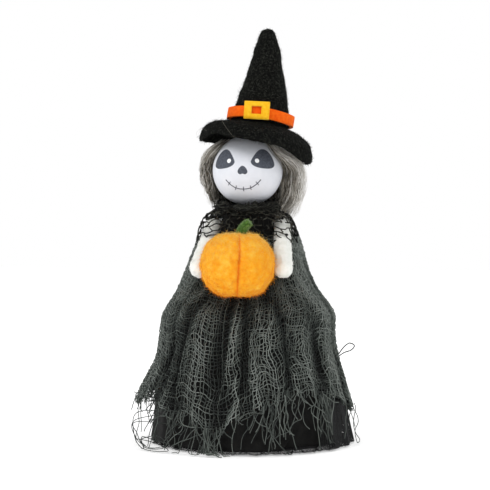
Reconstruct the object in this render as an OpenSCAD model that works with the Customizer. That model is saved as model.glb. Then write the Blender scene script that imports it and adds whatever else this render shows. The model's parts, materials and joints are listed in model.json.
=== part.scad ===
// Swaying witch figure: a cloth doll on a battery-driven base. Millimetres, +Z up, the figure faces -Y.
// The origin is on the floor, under the middle of the base.

/* [Base] */
// Radius of the round base drum
base_r = 58; // [57.5:0.5:59]
// Height of the drum's top above the floor
drum_h = 34; // [33:0.5:35]
// Thickness of the moulded walls
wall = 2; // [1.8:0.1:2.2]
// Height of the rubber feet
foot_h = 2; // [1.5:0.5:2.5]

/* [Sway drive] */
// Height of the axle that the figure sways on
sway_z = 46; // [45.5:0.5:46.5]
// Height of the crank's own axis
crank_z = 22; // [21.5:0.5:22]
// Throw of the crank pin
crank_throw = 3; // [2.5:0.5:3]
// Gear module
gear_m = 0.5; // [0.48:0.01:0.5]

/* [Figure] */
// Radius of the head ball
head_r = 25.5; // [25:0.5:26]
// Height of the head ball's centre
head_z = 197; // [196.5:0.5:199]
// Radius of the mast
mast_r = 4; // [3.5:0.5:4]
// Radius of the pumpkin
pumpkin_r = 26; // [25:0.5:26]
// Distance of the pumpkin in front of the mast
pumpkin_y = 48; // [48:0.5:50]
// Height of the pumpkin's middle
pumpkin_z = 130; // [129:0.5:132]

/* [Clothes] */
// Radius of the gauze skirt at its hem
gauze_r = 80; // [78:1:84]
// Radius of the underskirt on the floor
underskirt_r = 69; // [68:0.5:70]
// Radius of the hat's brim
brim_r = 41.5; // [40:0.5:43]
// Height of the hat's cone above its brim
hat_h = 76; // [72:1:78]
// Lean of the hat's brim towards the figure's left
hat_lean = 8.5; // [6:0.5:9]

/* [Hidden] */
$fn = 48;
clear = 0.2;                  // gap between loose moulded parts
run_gap = 0.05;               // radial running clearance of a shaft
tray_top = 14;                // split line between tray and cover
floor_z = foot_h + wall;      // top of the tray's floor
boss_xy = [[49, -4], [-49, -4], [22, 46], [-22, 46]];
boss_r = 3.6;
screw_r = 1.45;               // cover screws
screw_head_r = 2.9;
screw_head_h = 1.8;
screw_len = 20;
foot_xy = [[38, -36], [-38, -36], [34, 38], [-34, 38]];
foot_r = 4.5;
foot_sunk = 0.6;              // depth of a foot in its recess
turret_half_x = 27;           // raised housing over the gearbox
turret_y = [-12, 28];
turret_top = 58;
motor_house_x = [-13, 8];     // lower housing over the motor
motor_house_y = [20, 49];
motor_house_top = 48;
mast_slot = [11, 6.5];        // half sizes of the opening that the mast swings in

// Battery bay: two cells side by side, lying along X
cell_r = 7.1;
cell_len = 48.6;
cell_nub = 1.3;               // height of the raised positive end
nub_r = 2.7;
cell_y = [-20.5, -35.5];
spring_wire = 0.3;
spring_turns = 3.5;
spring_r = 4.6;               // widest radius, at the plate
plate_t = 0.5;
plate_half = 5.5;
plate_x = 27.9;               // face of a contact plate, from the middle of the bay
bay_half_x = 28.5;
bay_y = [-43, -13];
bay_top = 20.6;
bay_wall = 1.6;
cell_z = floor_z + 8;
door_lip = 2.5;
door_t = 1.7;
door_tab_y = -20;
door_tab_half = 4;
door_screw_x = 35.5;
door_screw_r = 1.25;
door_screw_len = 8;

// Gearbox: plates square to Y, gears turn about Y
front_plate_y = [9, 11];
rear_plate_y = [23, 25];
gearbox_y = [front_plate_y[0], rear_plate_y[1]];
plate_half_x = 24;
plate_top = 56;
pinion_teeth = 10;
wheel_teeth = 40;
output_teeth = 44;
step_out = gear_m * (pinion_teeth + output_teeth) / 2;
step_in = gear_m * (pinion_teeth + wheel_teeth) / 2;
angle_2 = 35;                 // direction from the output gear to the second gear
angle_1 = 100;                // from the second gear to the first gear
angle_m = 200;                // from the first gear to the motor pinion
function polar(d, a) = [d * cos(a), d * sin(a)];
out_xz = [0, crank_z];
second_xz = out_xz + polar(step_out, angle_2);
first_xz = second_xz + polar(step_in, angle_1);
motor_xz = first_xz + polar(step_in, angle_m);
layer_motor = 21.4;           // rear face of each pair of meshing teeth
layer_first = 18.4;
layer_second = 15.4;
tooth_w = 2.2;
post_xz = [[20, 9], [-20, 9], [20, 51], [-20, 51]];
spacer_xz = [[12, 14], [-12, 14], [12, 40], [-12, 40]];
bracket_y = [-9.5, -7.5];
spigot_r = 1.1;               // end of a post, in its plate
post_r = 2.4;
hub_r = 1.9;
gear_pin_r = 1;
out_shaft_r = 1.5;
sway_axle_r = 2;
lever_y = [0.2, 3];
crank_y = [4.5, 7.5];
open_pivot_gap = 0.4;         // the crank pin stops this far short of the lever
crank_pin_r = 1.2;
crank_pin_xz = [0, crank_z - crank_throw];
crank_disc_r = 6.5;
lever_tip_z = crank_z - 6;
lever_half_x = 4.5;
socket_z = sway_z + 8;        // foot of the mast in the lever's socket

// Motor
motor_r = 7.7;
motor_flat = 12;
motor_len = 18;
motor_skin = 0.6;
motor_shaft_r = 0.75;
motor_y = [rear_plate_y[1], rear_plate_y[1] + motor_len];
bell_y = motor_y[1] - 3;
bearing_r = 2.5;
bearing_len = 1.6;
core_y = [motor_y[0] + 3, bell_y - 3.6];
tag_x = 4.5;                  // solder tags, each side of the shaft
tag_len = 2.2;

// Switch, on the underside
switch_xy = [40, 14];
switch_travel = 2;
switch_half = [7, 3.2];
switch_h = 5.5;
button_half = [1.4, 1.2];

// Figure
core_z = [118, 166];
arm_top = [25.5, -1, 156];
arm_end = [30, -32, 127];
arm_r = [5.8, 6.8];           // at the shoulder and at the hand
wire_r = 1;
pumpkin_half_h = 24;
hat_at = [7.5, 2, 224.5];     // where the brim's plane crosses the hat's own axis
hat_back = -6;
cone_lean = 4.5;

// ---------- shared shapes ----------

// A box from one corner to the opposite one
module box(lo, hi) translate(lo) cube(hi - lo);

// A cylinder along Y between two Y values, centred at [x, z]
module rod_y(xz, ys, r)
  translate([xz[0], ys[1], xz[1]]) rotate([90, 0, 0]) cylinder(r = r, h = ys[1] - ys[0]);

// A hole square through a plate that lies between two Y values
module hole_y(xz, ys, r) rod_y(xz, ys + [-1, 1], r);

// A thin shell of revolution through [radius, z] points, with its thickness inwards
module shell(points, t, angle = 360) rotate_extrude(angle = angle, $fn = 96)
  polygon(concat(points, [for (i = [len(points) - 1:-1:0]) points[i] - [t, 0]]));

// A tapered capsule from one point to another
module capsule(a, b, ra, rb) {
  d = b - a;
  len = norm(d);
  steps = 6;
  ends = concat(
    [for (i = [0:steps]) [ra * sin(90 * i / steps), -ra * cos(90 * i / steps)]],
    [for (i = [0:steps]) [rb * cos(90 * i / steps), len + rb * sin(90 * i / steps)]]
  );
  inner = [for (p = ends) [max(p[0], 0), p[1]]];
  translate(a) rotate([0, acos(d[2] / len), atan2(d[1], d[0])]) rotate_extrude() polygon(inner);
}

// A round wire swept along a path of points
module wire(path, r, sides = 8) {
  n = len(path);
  function unit(v) = v / norm(v);
  function tangent(i) = unit(path[min(i + 1, n - 1)] - path[max(i - 1, 0)]);
  function side(i) = unit(cross(tangent(i), abs(tangent(i)[1]) < 0.9 ? [0, 1, 0] : [1, 0, 0]));
  function around(i, angle) = cos(angle) * side(i) + sin(angle) * cross(tangent(i), side(i));
  points = [for (i = [0:n - 1]) for (j = [0:sides - 1]) path[i] + r * around(i, 360 * j / sides)];
  skin = [for (i = [0:n - 2]) for (j = [0:sides - 1])
    let (a = i * sides + j, b = i * sides + (j + 1) % sides)
    each [[a, b + sides, b], [a, a + sides, b + sides]]];
  last = (n - 1) * sides;
  caps = [for (j = [1:sides - 2]) each [[0, j, j + 1], [last, last + j + 1, last + j]]];
  polyhedron(points, concat(skin, caps));
}

// A smooth path through control points
function bend(p, steps = 6) = [
  for (i = [0:len(p) - 2]) for (s = [0:steps - (i == len(p) - 2 ? 0 : 1)])
  let (t = s / steps, a = p[max(i - 1, 0)], b = p[i], c = p[i + 1], d = p[min(i + 2, len(p) - 1)])
  0.5 * (2 * b + (c - a) * t + (2 * a - 5 * b + 4 * c - d) * t ^ 2 + (3 * b - a - 3 * c + d) * t ^ 3)];

// An involute spur gear outline with one tooth centred on angle 0
function involute(rb, r) = let (a = acos(min(1, rb / r))) tan(a) * 180 / PI - a;
module gear_2d(teeth) {
  pitch = gear_m * teeth / 2;
  rb = pitch * cos(25);
  tip = pitch + 0.8 * gear_m;
  root = pitch - 1.1 * gear_m;
  half = 90 / teeth * 0.93 + involute(rb, pitch);
  radii = [for (s = [0, 0.5, 1]) let (low = max(rb, root)) low + (tip - low) * s];
  flank = concat([[root, half]], [for (r = radii) [r, half - involute(rb, r)]]);
  polygon([for (k = [0:teeth - 1]) each concat(
    [for (p = flank) polar(p[0], 360 * k / teeth - p[1])],
    [for (i = [len(flank) - 1:-1:0]) polar(flank[i][0], 360 * k / teeth + flank[i][1])])]);
}

// A pinion is turned to put a gap, not a tooth, opposite the tooth of the wheel it meets
pinion_turn = 180 + 180 / pinion_teeth;

// Gear teeth on a Y axis: rear face at y, turned so that a tooth points along the angle
module teeth_y(xz, y, w, teeth, angle) translate([xz[0], y, xz[1]]) rotate([90, 0, 0])
  rotate(angle) linear_extrude(w) gear_2d(teeth);

// ---------- base ----------

module tray_outline() difference() {
  translate([0, 0, foot_h]) cylinder(r = base_r, h = tray_top - foot_h, $fn = 96);
  translate([0, 0, floor_z]) cylinder(r = base_r - wall, h = tray_top, $fn = 96);
}

// The battery bay's rectangle, grown on every side, between two heights
module bay_box(grow, from, to)
  box([-bay_half_x - grow, bay_y[0] - grow, from], [bay_half_x + grow, bay_y[1] + grow, to]);

// The door's screw tab, grown on every side, between two heights
module tab_box(grow, from, to)
  box([bay_half_x, door_tab_y - door_tab_half - grow, from],
      [door_screw_x + 4.5 + grow, door_tab_y + door_tab_half + grow, to]);

module base_tray() color("#17181a") difference() {
  union() {
    tray_outline();
    bay_box(bay_wall, foot_h, bay_top + bay_wall);
    for (p = boss_xy) translate([p[0], p[1], foot_h]) cylinder(r = boss_r, h = tray_top - foot_h);
    translate([door_screw_x, door_tab_y, foot_h]) cylinder(r = 3.4, h = 10);
  }
  bay_box(0, foot_h - 1, bay_top);
  bay_box(door_lip, foot_h - 1, foot_h + door_t + 0.1);
  tab_box(clear, foot_h - 1, foot_h + door_t + 0.1);
  translate([door_screw_x, door_tab_y, foot_h]) cylinder(r = door_screw_r + run_gap, h = 9);
  for (p = boss_xy) translate([p[0], p[1], foot_h - 1]) {
    cylinder(r = screw_r + 0.15, h = tray_top);
    cylinder(r = screw_head_r + clear, h = 3);
  }
  for (p = foot_xy) translate([p[0], p[1], foot_h - 1]) cylinder(r = foot_r + 0.1, h = 1 + foot_sunk);
  translate([switch_xy[0], switch_xy[1], 0]) box([-4, -1.5, foot_h - 1], [4, 1.5, floor_z + 1]);
}

// The raised housings over the gearbox and the motor
module turret(grow, top) {
  box([-turret_half_x - grow, turret_y[0] - grow, tray_top],
      [turret_half_x + grow, turret_y[1] + grow, turret_top + top]);
  box([motor_house_x[0] - grow, motor_house_y[0], tray_top],
      [motor_house_x[1] + grow, motor_house_y[1] + grow, motor_house_top + top]);
}

module base_cover() color("#17181a") difference() {
  union() {
    difference() {
      union() {
        translate([0, 0, tray_top]) cylinder(r = base_r, h = drum_h - tray_top, $fn = 96);
        turret(wall, wall);
      }
      translate([0, 0, tray_top - 1])
        cylinder(r = base_r - wall, h = drum_h - wall - tray_top + 1, $fn = 96);
      translate([0, 0, -1]) turret(0, 1);
    }
    for (p = boss_xy) translate([p[0], p[1], tray_top])
      cylinder(r = boss_r, h = drum_h - wall - tray_top + 0.5);
  }
  for (p = boss_xy) translate([p[0], p[1], tray_top - 1]) cylinder(r = screw_r + run_gap, h = 14);
  box([-mast_slot[0], -mast_slot[1], 50], [mast_slot[0], mast_slot[1], 70]);
}

module battery_door() color("#1d1e20") difference() {
  union() {
    bay_box(door_lip - clear, foot_h, foot_h + door_t);
    tab_box(0, foot_h, foot_h + door_t);
    for (y = [bay_y[0] + 1, bay_y[1] - 2]) box([-12, y, foot_h + 1], [12, y + 1, foot_h + 4]);
  }
  translate([door_screw_x, door_tab_y, foot_h - 1]) cylinder(r = door_screw_r + 0.1, h = 5);
  for (x = [-20:5:-8]) box([x, -36, foot_h - 0.5], [x + 2, -20, foot_h + 0.4]);
}

// A pan-head screw pointing up, with a cross slot in its head
module screw(head_r, head_h, shank_r, len) difference() {
  union() {
    cylinder(r = head_r, h = head_h);
    cylinder(r = shank_r, h = head_h + len);
  }
  for (a = [0, 90]) rotate(a) translate([-head_r * 0.6, -0.3, -1]) cube([head_r * 1.2, 0.6, 1.7]);
}

module door_screw() color("silver")
  translate([door_screw_x, door_tab_y, foot_h - 1.2]) screw(2.4, 1.2, door_screw_r, door_screw_len);

module cover_screws() color("silver") for (p = boss_xy)
  translate([p[0], p[1], foot_h + clear]) screw(screw_head_r, screw_head_h, screw_r, screw_len);

module rubber_feet() color("#222222") for (p = foot_xy) translate([p[0], p[1], 0]) {
  cylinder(r = foot_r, h = foot_h + foot_sunk);
}

module aa_cell() rotate([0, 90, 0]) rotate_extrude() polygon([
  [0, 0], [6.2, 0], [cell_r, 0.8], [cell_r, cell_len - 0.8], [6.4, cell_len],
  [nub_r, cell_len], [nub_r, cell_len + cell_nub], [0, cell_len + cell_nub]]);

module aa_cells() color("#b87333") for (i = [0, 1]) translate([0, cell_y[i], cell_z])
  rotate([0, 0, i * 180]) translate([plate_x - 0.1 - cell_nub - cell_len, 0, 0]) aa_cell();

// One tapering coil between a contact plate and the flat end of a cell
spring_len = 2 * plate_x - cell_len - cell_nub - 2 * spring_wire - 0.2;
function coil(t, len) = let (s = t / (360 * spring_turns), r = spring_r - 2 * s)
  [spring_wire - plate_x + len * s, r * cos(t), r * sin(t)];
module contact_springs() color("silver") for (i = [0, 1])
  translate([0, cell_y[i], cell_z]) rotate([0, 0, i * 180])
    wire([for (t = [0:20:360 * spring_turns]) coil(t, spring_len)], spring_wire, 5);

module contact_plates() color("silver") for (i = [0, 1])
  translate([0, cell_y[i], cell_z]) rotate([0, 0, i * 180]) for (x = [plate_x, -plate_x - plate_t])
    box([x, -plate_half, -plate_half], [x + plate_t, plate_half, plate_half]);

module switch_case() color("silver") translate([switch_xy[0], switch_xy[1], floor_z]) difference() {
  box([-switch_half[0], -switch_half[1], 0], [switch_half[0], switch_half[1], switch_h]);
  box([-4.6, -1.8, -1], [4.6, 1.8, 2.2]);
}

module switch_slider() color("#101010") translate([switch_xy[0] - switch_travel / 2, switch_xy[1], 0]) {
  box([-button_half[0], -button_half[1], foot_h - 0.9], [button_half[0], button_half[1], floor_z + clear]);
  box([-2.6, -1.5, floor_z + clear], [2.6, 1.5, floor_z + 1.9]);
}

// ---------- gearbox and motor ----------

module plate_shape(ys) box([-plate_half_x, ys[0], floor_z], [plate_half_x, ys[1], plate_top]);

module gearbox_front_plate() color("#e8e6e0") difference() {
  plate_shape(front_plate_y);
  hole_y(out_xz, front_plate_y, out_shaft_r + run_gap);
  for (g = [first_xz, second_xz]) hole_y(g, front_plate_y, gear_pin_r);
  hole_y([0, sway_z], front_plate_y, sway_axle_r);
  for (p = concat(post_xz, spacer_xz)) hole_y(p, front_plate_y, spigot_r);
}

module gearbox_rear_plate() color("#e8e6e0") difference() {
  plate_shape(rear_plate_y);
  hole_y(out_xz, rear_plate_y, out_shaft_r + run_gap);
  for (g = [first_xz, second_xz]) hole_y(g, rear_plate_y, gear_pin_r);
  hole_y(motor_xz, rear_plate_y, bearing_r + 0.1);
  for (p = post_xz) hole_y(p, rear_plate_y, spigot_r);
}

// A post between two plates, with a spigot into each
module post(xz, from, to) {
  rod_y(xz, [from[1], to[0]], post_r);
  rod_y(xz, [from[0], to[1]], spigot_r);
}

module gearbox_posts() color("#e8e6e0") for (p = post_xz) post(p, front_plate_y, rear_plate_y);
module bracket_spacers() color("#e8e6e0") for (p = spacer_xz) post(p, bracket_y, front_plate_y);

module mast_bracket() color("#e8e6e0") difference() {
  box([-16, bracket_y[0], floor_z], [16, bracket_y[1], 52]);
  hole_y([0, sway_z], bracket_y, sway_axle_r);
  for (p = spacer_xz) hole_y(p, bracket_y, spigot_r);
}

module motor_profile(r, flat, ys) intersection() {
  rod_y(motor_xz, ys, r);
  box([motor_xz[0] - r, ys[0], motor_xz[1] - flat / 2], [motor_xz[0] + r, ys[1], motor_xz[1] + flat / 2]);
}

module motor_can() color("silver") {
  difference() {
    motor_profile(motor_r, motor_flat, [motor_y[0], bell_y]);
    motor_profile(motor_r - motor_skin, motor_flat - 2 * motor_skin, [motor_y[0] + motor_skin, bell_y + 1]);
    rod_y(motor_xz, motor_y, motor_shaft_r + run_gap);
  }
  difference() {
    rod_y(motor_xz, [motor_y[0] - bearing_len, motor_y[0]], bearing_r);
    rod_y(motor_xz, [motor_y[0] - 2, motor_y[0] + 1], motor_shaft_r + run_gap);
  }
}

module motor_magnets() color("#3a3a3c") for (s = [-1, 1]) intersection() {
  difference() {
    rod_y(motor_xz, [motor_y[0] + 2, bell_y - 1], motor_r - motor_skin - 0.05);
    rod_y(motor_xz, [motor_y[0] + 1, bell_y], 5.3);
  }
  translate([motor_xz[0] + s * 6.5, 0, motor_xz[1]]) box([-1.9, motor_y[0], -4.6], [1.9, bell_y, 4.6]);
}

module motor_end_bell() color("white") {
  difference() {
    motor_profile(motor_r, motor_flat, [bell_y, motor_y[1]]);
    rod_y(motor_xz, [bell_y - 1, motor_y[1] + 1], motor_shaft_r + run_gap);
  }
  for (s = [-1, 1]) translate([motor_xz[0] + s * tag_x, motor_y[1] - 0.5, motor_xz[1]])
    box([-0.9, 0, -0.2], [0.9, tag_len, 0.2]);
}

module motor_armature() color("#9a9a9c") {
  rod_y(motor_xz, [layer_motor - tooth_w - 0.3, motor_y[1] - 0.2], motor_shaft_r);
  difference() {
    rod_y(motor_xz, core_y, 5);
    for (a = [90, 210, 330]) rod_y(motor_xz + polar(4.2, a), [motor_y[0] + 2, bell_y], 1);
  }
  rod_y(motor_xz, [core_y[1], core_y[1] + 3], hub_r);
}

module motor_pinion() color("#d8b040") difference() {
  teeth_y(motor_xz, layer_motor, tooth_w, pinion_teeth, angle_m + pinion_turn);
  rod_y(motor_xz, [layer_motor - tooth_w - 1, layer_motor + 1], motor_shaft_r);
}

module first_gear() color("ivory") difference() {
  union() {
    teeth_y(first_xz, layer_motor, tooth_w, wheel_teeth, angle_m);
    teeth_y(first_xz, layer_first, tooth_w, pinion_teeth, angle_1 + pinion_turn);
    rod_y(first_xz, [layer_first - 0.5, layer_motor - 0.5], hub_r);
  }
  rod_y(first_xz, gearbox_y, gear_pin_r + run_gap);
}

module second_gear() color("ivory") difference() {
  union() {
    teeth_y(second_xz, layer_first, tooth_w, wheel_teeth, angle_1);
    teeth_y(second_xz, layer_second, tooth_w, pinion_teeth, angle_2 + pinion_turn);
    rod_y(second_xz, [layer_second - 0.5, layer_first - 0.5], hub_r);
  }
  rod_y(second_xz, gearbox_y, gear_pin_r + run_gap);
}

module output_gear() color("ivory") difference() {
  union() {
    teeth_y(out_xz, layer_second, tooth_w, output_teeth, angle_2);
    rod_y(out_xz, [11.3, layer_second + 0.5], 4);
  }
  rod_y(out_xz, gearbox_y, out_shaft_r);
}

module output_shaft() color("silver") rod_y(out_xz, [crank_y[0], rear_plate_y[1]], out_shaft_r);

module crank_disc() color("ivory") difference() {
  rod_y(out_xz, crank_y, crank_disc_r);
  hole_y(out_xz, crank_y, out_shaft_r);
  hole_y(crank_pin_xz, crank_y, crank_pin_r);
}

module crank_pin() color("silver")
  rod_y(crank_pin_xz, [lever_y[1] + open_pivot_gap, crank_y[1]], crank_pin_r);

module gear_pins() color("silver") for (g = [first_xz, second_xz]) rod_y(g, gearbox_y, gear_pin_r);

module sway_axle() color("silver") difference() {
  rod_y([0, sway_z], [bracket_y[0] - 1.5, front_plate_y[1]], sway_axle_r);
  difference() {
    rod_y([0, sway_z], [bracket_y[0] - 1, bracket_y[0] - 0.4], 3);
    rod_y([0, sway_z], [bracket_y[0] - 2, bracket_y[0]], 1.5);
  }
}

module axle_clip() color("silver") difference() {
  rod_y([0, sway_z], [bracket_y[0] - 0.9, bracket_y[0] - 0.5], 3.4);
  rod_y([0, sway_z], [bracket_y[0] - 2, bracket_y[0]], 1.55);
  box([-1.2, bracket_y[0] - 2, sway_z], [1.2, bracket_y[0], sway_z + 5]);
}

// Insulated leads from the motor's tags to the switch and to the battery contacts
lead_r = 0.6;
lead_y = motor_y[1] + tag_len + 0.3;
red_path = [
  [motor_xz[0] + tag_x, lead_y, motor_xz[1]], [6, 44.5, 24], [22, 34, 12], [switch_xy[0] - 3, 26, 13],
  [switch_xy[0] - 2, switch_xy[1] + 1, 11.4], [switch_xy[0] - 2, switch_xy[1], floor_z + switch_h + 0.1]];
black_path = [
  [motor_xz[0] - tag_x, lead_y, motor_xz[1]], [-12, 42, 24], [-31, 28, 12],
  [-38, 4, 10], [-36, -20, 12], [-30.8, cell_y[0], cell_z]];
module red_lead() color("red") wire(bend(red_path), lead_r);
module black_lead() color("#202020") wire(bend(black_path), lead_r);

// ---------- clothes that stand on the base ----------

former_line = [[66, 2], [62.5, drum_h], [47, 75], [38, 93]];
former_t = 1.2;
module skirt_former() color("#101010") {
  shell(former_line, former_t);
  difference() {
    translate([0, 0, drum_h]) cylinder(r = 61.6, h = former_t);
    translate([0, 0, drum_h - 1]) cylinder(r = 50, h = 4);
    box([-20, 25, drum_h - 1], [20, 70, drum_h + 3]);
  }
}

skirt_foot_z = 1.5;           // the cloth's edge clears the floor
underskirt_line = [[underskirt_r, skirt_foot_z], [underskirt_r - 4, 34], [51, 75], [41, 95], [24, 108]];
module underskirt() color("#121214") shell(underskirt_line, 1.6);

module tulle_petticoat() color("#2a2a2c")
  shell([[underskirt_r + 8, skirt_foot_z], [underskirt_r + 2, 17]], 0.5);

// ---------- figure ----------

module sway_lever() color("#d9d9d4") difference() {
  union() {
    rod_y([0, sway_z], [-3, 3], 6);
    box([-lever_half_x, lever_y[0], lever_tip_z + lever_half_x], [lever_half_x, lever_y[1], sway_z]);
    rod_y([0, lever_tip_z + lever_half_x], lever_y, lever_half_x);
    translate([0, 0, sway_z + 3]) cylinder(r = mast_r + 2, h = 24);
  }
  rod_y([0, sway_z], [-5, 5], sway_axle_r + run_gap);
  box([-crank_pin_r - 0.1, -1, crank_z - crank_throw - 1.4],
      [crank_pin_r + 0.1, 4, crank_z + crank_throw + 1.6]);
  translate([0, 0, socket_z]) cylinder(r = mast_r, h = 30);
}

module mast() color("#202022") difference() {
  translate([0, 0, socket_z]) cylinder(r = mast_r, h = head_z + 7 - socket_z);
  translate([0, 0, socket_z - 1]) cylinder(r = mast_r - 0.8, h = head_z);
}

module torso_core() color("white") difference() {
  translate([0, 0, core_z[0]]) cylinder(r1 = 18, r2 = 16, h = core_z[1] - core_z[0]);
  translate([0, 0, core_z[0] - 1]) cylinder(r = mast_r, h = 60);
}

module bodice() color("#141416") shell([[20, core_z[0] - 2], [19.6, 150], [18, core_z[1] + 2]], 1.5);

// One wire through the body from hand to hand
half_wire = [[14, 5, 159], [26, -4, 153], [29, -23, 134]];
wire_path = concat(
  [for (i = [2:-1:0]) [-half_wire[i][0], half_wire[i][1], half_wire[i][2]]], [[0, 6.5, 160]], half_wire);
module arm_wire() color("silver") wire(bend(wire_path, 5), wire_r);

module arm(side) color("#f1efe6") capsule(
  [side * arm_top[0], arm_top[1], arm_top[2]], [side * arm_end[0], arm_end[1], arm_end[2]],
  arm_r[0], arm_r[1]);
module left_arm() arm(1);
module right_arm() arm(-1);

module head_ball() color("white") difference() {
  translate([0, 0, head_z]) sphere(r = head_r, $fn = 96);
  translate([0, 0, head_z - head_r - 1]) cylinder(r = mast_r, h = head_r + 9);
}

// Wool hair: a thick cap over the head, open round the face
wig_in = head_r + 0.15;
wig_out = head_r + 5;
wig_low = -17;
function arc(r, from, to, n) = [for (i = [0:n]) polar(r, from + (to - from) * i / n)];
wig_section = concat(
  arc(wig_out, asin(wig_low / wig_out), 90, 18), arc(wig_in, 90, asin(wig_low / wig_in), 18));
module wig() color("#8a857b")
  translate([0, 0, head_z]) rotate(-25) rotate_extrude(angle = 230, $fn = 72) polygon(wig_section);

module in_hat(lean = hat_lean) translate(hat_at) rotate([hat_back, lean, 0]) children();

brim_top = [[16.5, 7.5], [19.2, 7], [21.5, 5], [26, 3.2], [31, 1.4], [35.5, -1.4], [39, -5.2],
            [brim_r, -10]];
brim_under = [[brim_r - 1.2, -12], [37.6, -8.4], [34.2, -4.8], [29.8, -1.8], [25, 0.2], [20, 2],
              [16.6, 3.6], [14.6, 5.4]];
module hat_brim() color("#151515") in_hat() rotate_extrude($fn = 96) polygon(concat(brim_top, brim_under));

// The felt cone stands on the brim's inner rim and leans less than the brim does
felt_t = 2.4;
cone_seat = 7.6;              // height of the inner rim above the brim's plane
cone_line = [[21, 2], [20, 14], [16.8, 0.37 * hat_h], [13.3, 0.55 * hat_h], [10, 0.74 * hat_h],
             [7.4, 0.88 * hat_h], [5, 0.96 * hat_h], [0, hat_h]];
cone_hollow = [[0, 0.92 * hat_h], [5, 0.86 * hat_h], [10 - felt_t, 0.74 * hat_h],
               [13.3 - felt_t, 0.55 * hat_h], [16.8 - felt_t, 0.37 * hat_h], [20 - felt_t, 14],
               [21 - felt_t, 2]];
module hat_cone() color("#151515") difference() {
  in_hat(cone_lean) rotate_extrude() polygon(concat(cone_line, cone_hollow));
  in_hat() translate([0, 0, -20]) cylinder(r = 40, h = 20 + cone_seat);
}

band_z = [7.3, 14.4];
band_r = 24.2;
module hat_band() color("#ff6a10") in_hat() difference() {
  translate([0, 0, band_z[0]]) cylinder(r = band_r, h = band_z[1] - band_z[0], $fn = 96);
  translate([0, 0, 0]) cylinder(r = band_r - 2.4, h = 20, $fn = 96);
}

buckle_half = [9.1, 6.4];
window_half = [3.5, 2.8];
module hat_buckle() color("#f6b81a") in_hat() translate([0, 0, 12.2]) difference() {
  box([-buckle_half[0], -band_r - 2.6, -buckle_half[1]], [buckle_half[0], -band_r - clear, buckle_half[1]]);
  box([-window_half[0], -band_r - 4, -window_half[1]], [window_half[0], -band_r, window_half[1]]);
}

// Bunched net round the neck, under the chin
ruff_section = [[8, 168.8], [19, 168.8], [20.8, 171], [22.5, 174], [20.5, 177.5], [16.5, 176.2],
                [12, 173.4], [8, 171.4]];
module neck_ruff() color("#1a1a1a") rotate_extrude($fn = 72) polygon(ruff_section);

// One tube of gauze from the neck over the shoulders to the hem, with a front opening for the arms
dress_line = [[gauze_r, 28], [gauze_r - 8, 42], [63, 75], [56, 98], [47, 112], [42, 130], [37.4, 147],
              [36, 156], [32, 163], [21.5, 168.4]];
module gauze_dress() color("#2b2d2d") difference() {
  shell(dress_line, 1.4);
  box([-60, -90, 100], [60, -6, 152]);
  box([-24, -90, 140], [24, -6, 154.5]);
}

// A flattened round body, dished a little at the top and at the bottom
dish = 2.5;
dish_angle = 72;
pumpkin_section = concat(
  [[0, -pumpkin_half_h + dish]],
  [for (a = [-dish_angle:9:dish_angle])
    [pumpkin_r * (0.16 + 0.84 * cos(a)), pumpkin_half_h * sin(a) / sin(dish_angle)]],
  [[0, pumpkin_half_h - dish]]);
module pumpkin() color("#ff9a1a")
  translate([0, -pumpkin_y, pumpkin_z]) rotate_extrude($fn = 72) polygon(pumpkin_section);

stem_z = pumpkin_z + pumpkin_half_h + 1;
module pumpkin_stem() color("#4c7a28")
  capsule([-0.5, -pumpkin_y + 1, stem_z], [5, -pumpkin_y, stem_z + 7], 3.2, 3.4);

// ---------- nodes ----------

base_tray();
base_cover();
battery_door();
door_screw();
aa_cells();
contact_springs();
contact_plates();
switch_case();
switch_slider();
gearbox_front_plate();
gearbox_rear_plate();
gearbox_posts();
mast_bracket();
bracket_spacers();
motor_can();
motor_magnets();
motor_end_bell();
motor_armature();
motor_pinion();
first_gear();
second_gear();
output_gear();
output_shaft();
crank_disc();
crank_pin();
gear_pins();
sway_axle();
axle_clip();
cover_screws();
rubber_feet();
red_lead();
black_lead();
skirt_former();
underskirt();
tulle_petticoat();
sway_lever();
mast();
torso_core();
bodice();
arm_wire();
left_arm();
right_arm();
head_ball();
wig();
hat_cone();
hat_brim();
hat_band();
hat_buckle();
neck_ruff();
gauze_dress();
pumpkin();
pumpkin_stem();
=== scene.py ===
"""Looks of the swaying witch figure: cloth, felt, wool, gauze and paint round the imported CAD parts."""
import json
import math

import bmesh
import bpy
import numpy as np
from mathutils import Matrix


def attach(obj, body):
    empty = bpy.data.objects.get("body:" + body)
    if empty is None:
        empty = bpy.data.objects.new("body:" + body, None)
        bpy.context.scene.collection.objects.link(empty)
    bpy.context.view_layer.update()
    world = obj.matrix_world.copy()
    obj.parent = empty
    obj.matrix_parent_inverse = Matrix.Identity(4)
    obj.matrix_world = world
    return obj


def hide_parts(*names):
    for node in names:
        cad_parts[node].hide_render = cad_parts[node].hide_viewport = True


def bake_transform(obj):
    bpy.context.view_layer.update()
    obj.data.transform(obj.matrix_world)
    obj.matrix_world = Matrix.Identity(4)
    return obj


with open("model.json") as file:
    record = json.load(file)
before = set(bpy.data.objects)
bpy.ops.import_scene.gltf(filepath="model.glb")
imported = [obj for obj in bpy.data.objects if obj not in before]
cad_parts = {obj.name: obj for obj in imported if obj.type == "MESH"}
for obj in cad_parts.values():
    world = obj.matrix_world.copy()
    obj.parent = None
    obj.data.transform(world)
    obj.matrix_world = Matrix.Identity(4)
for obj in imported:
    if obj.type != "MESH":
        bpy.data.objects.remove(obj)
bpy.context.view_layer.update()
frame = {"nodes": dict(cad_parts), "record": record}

# ---------- sizes of the figure, in millimetres and degrees ----------

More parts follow.
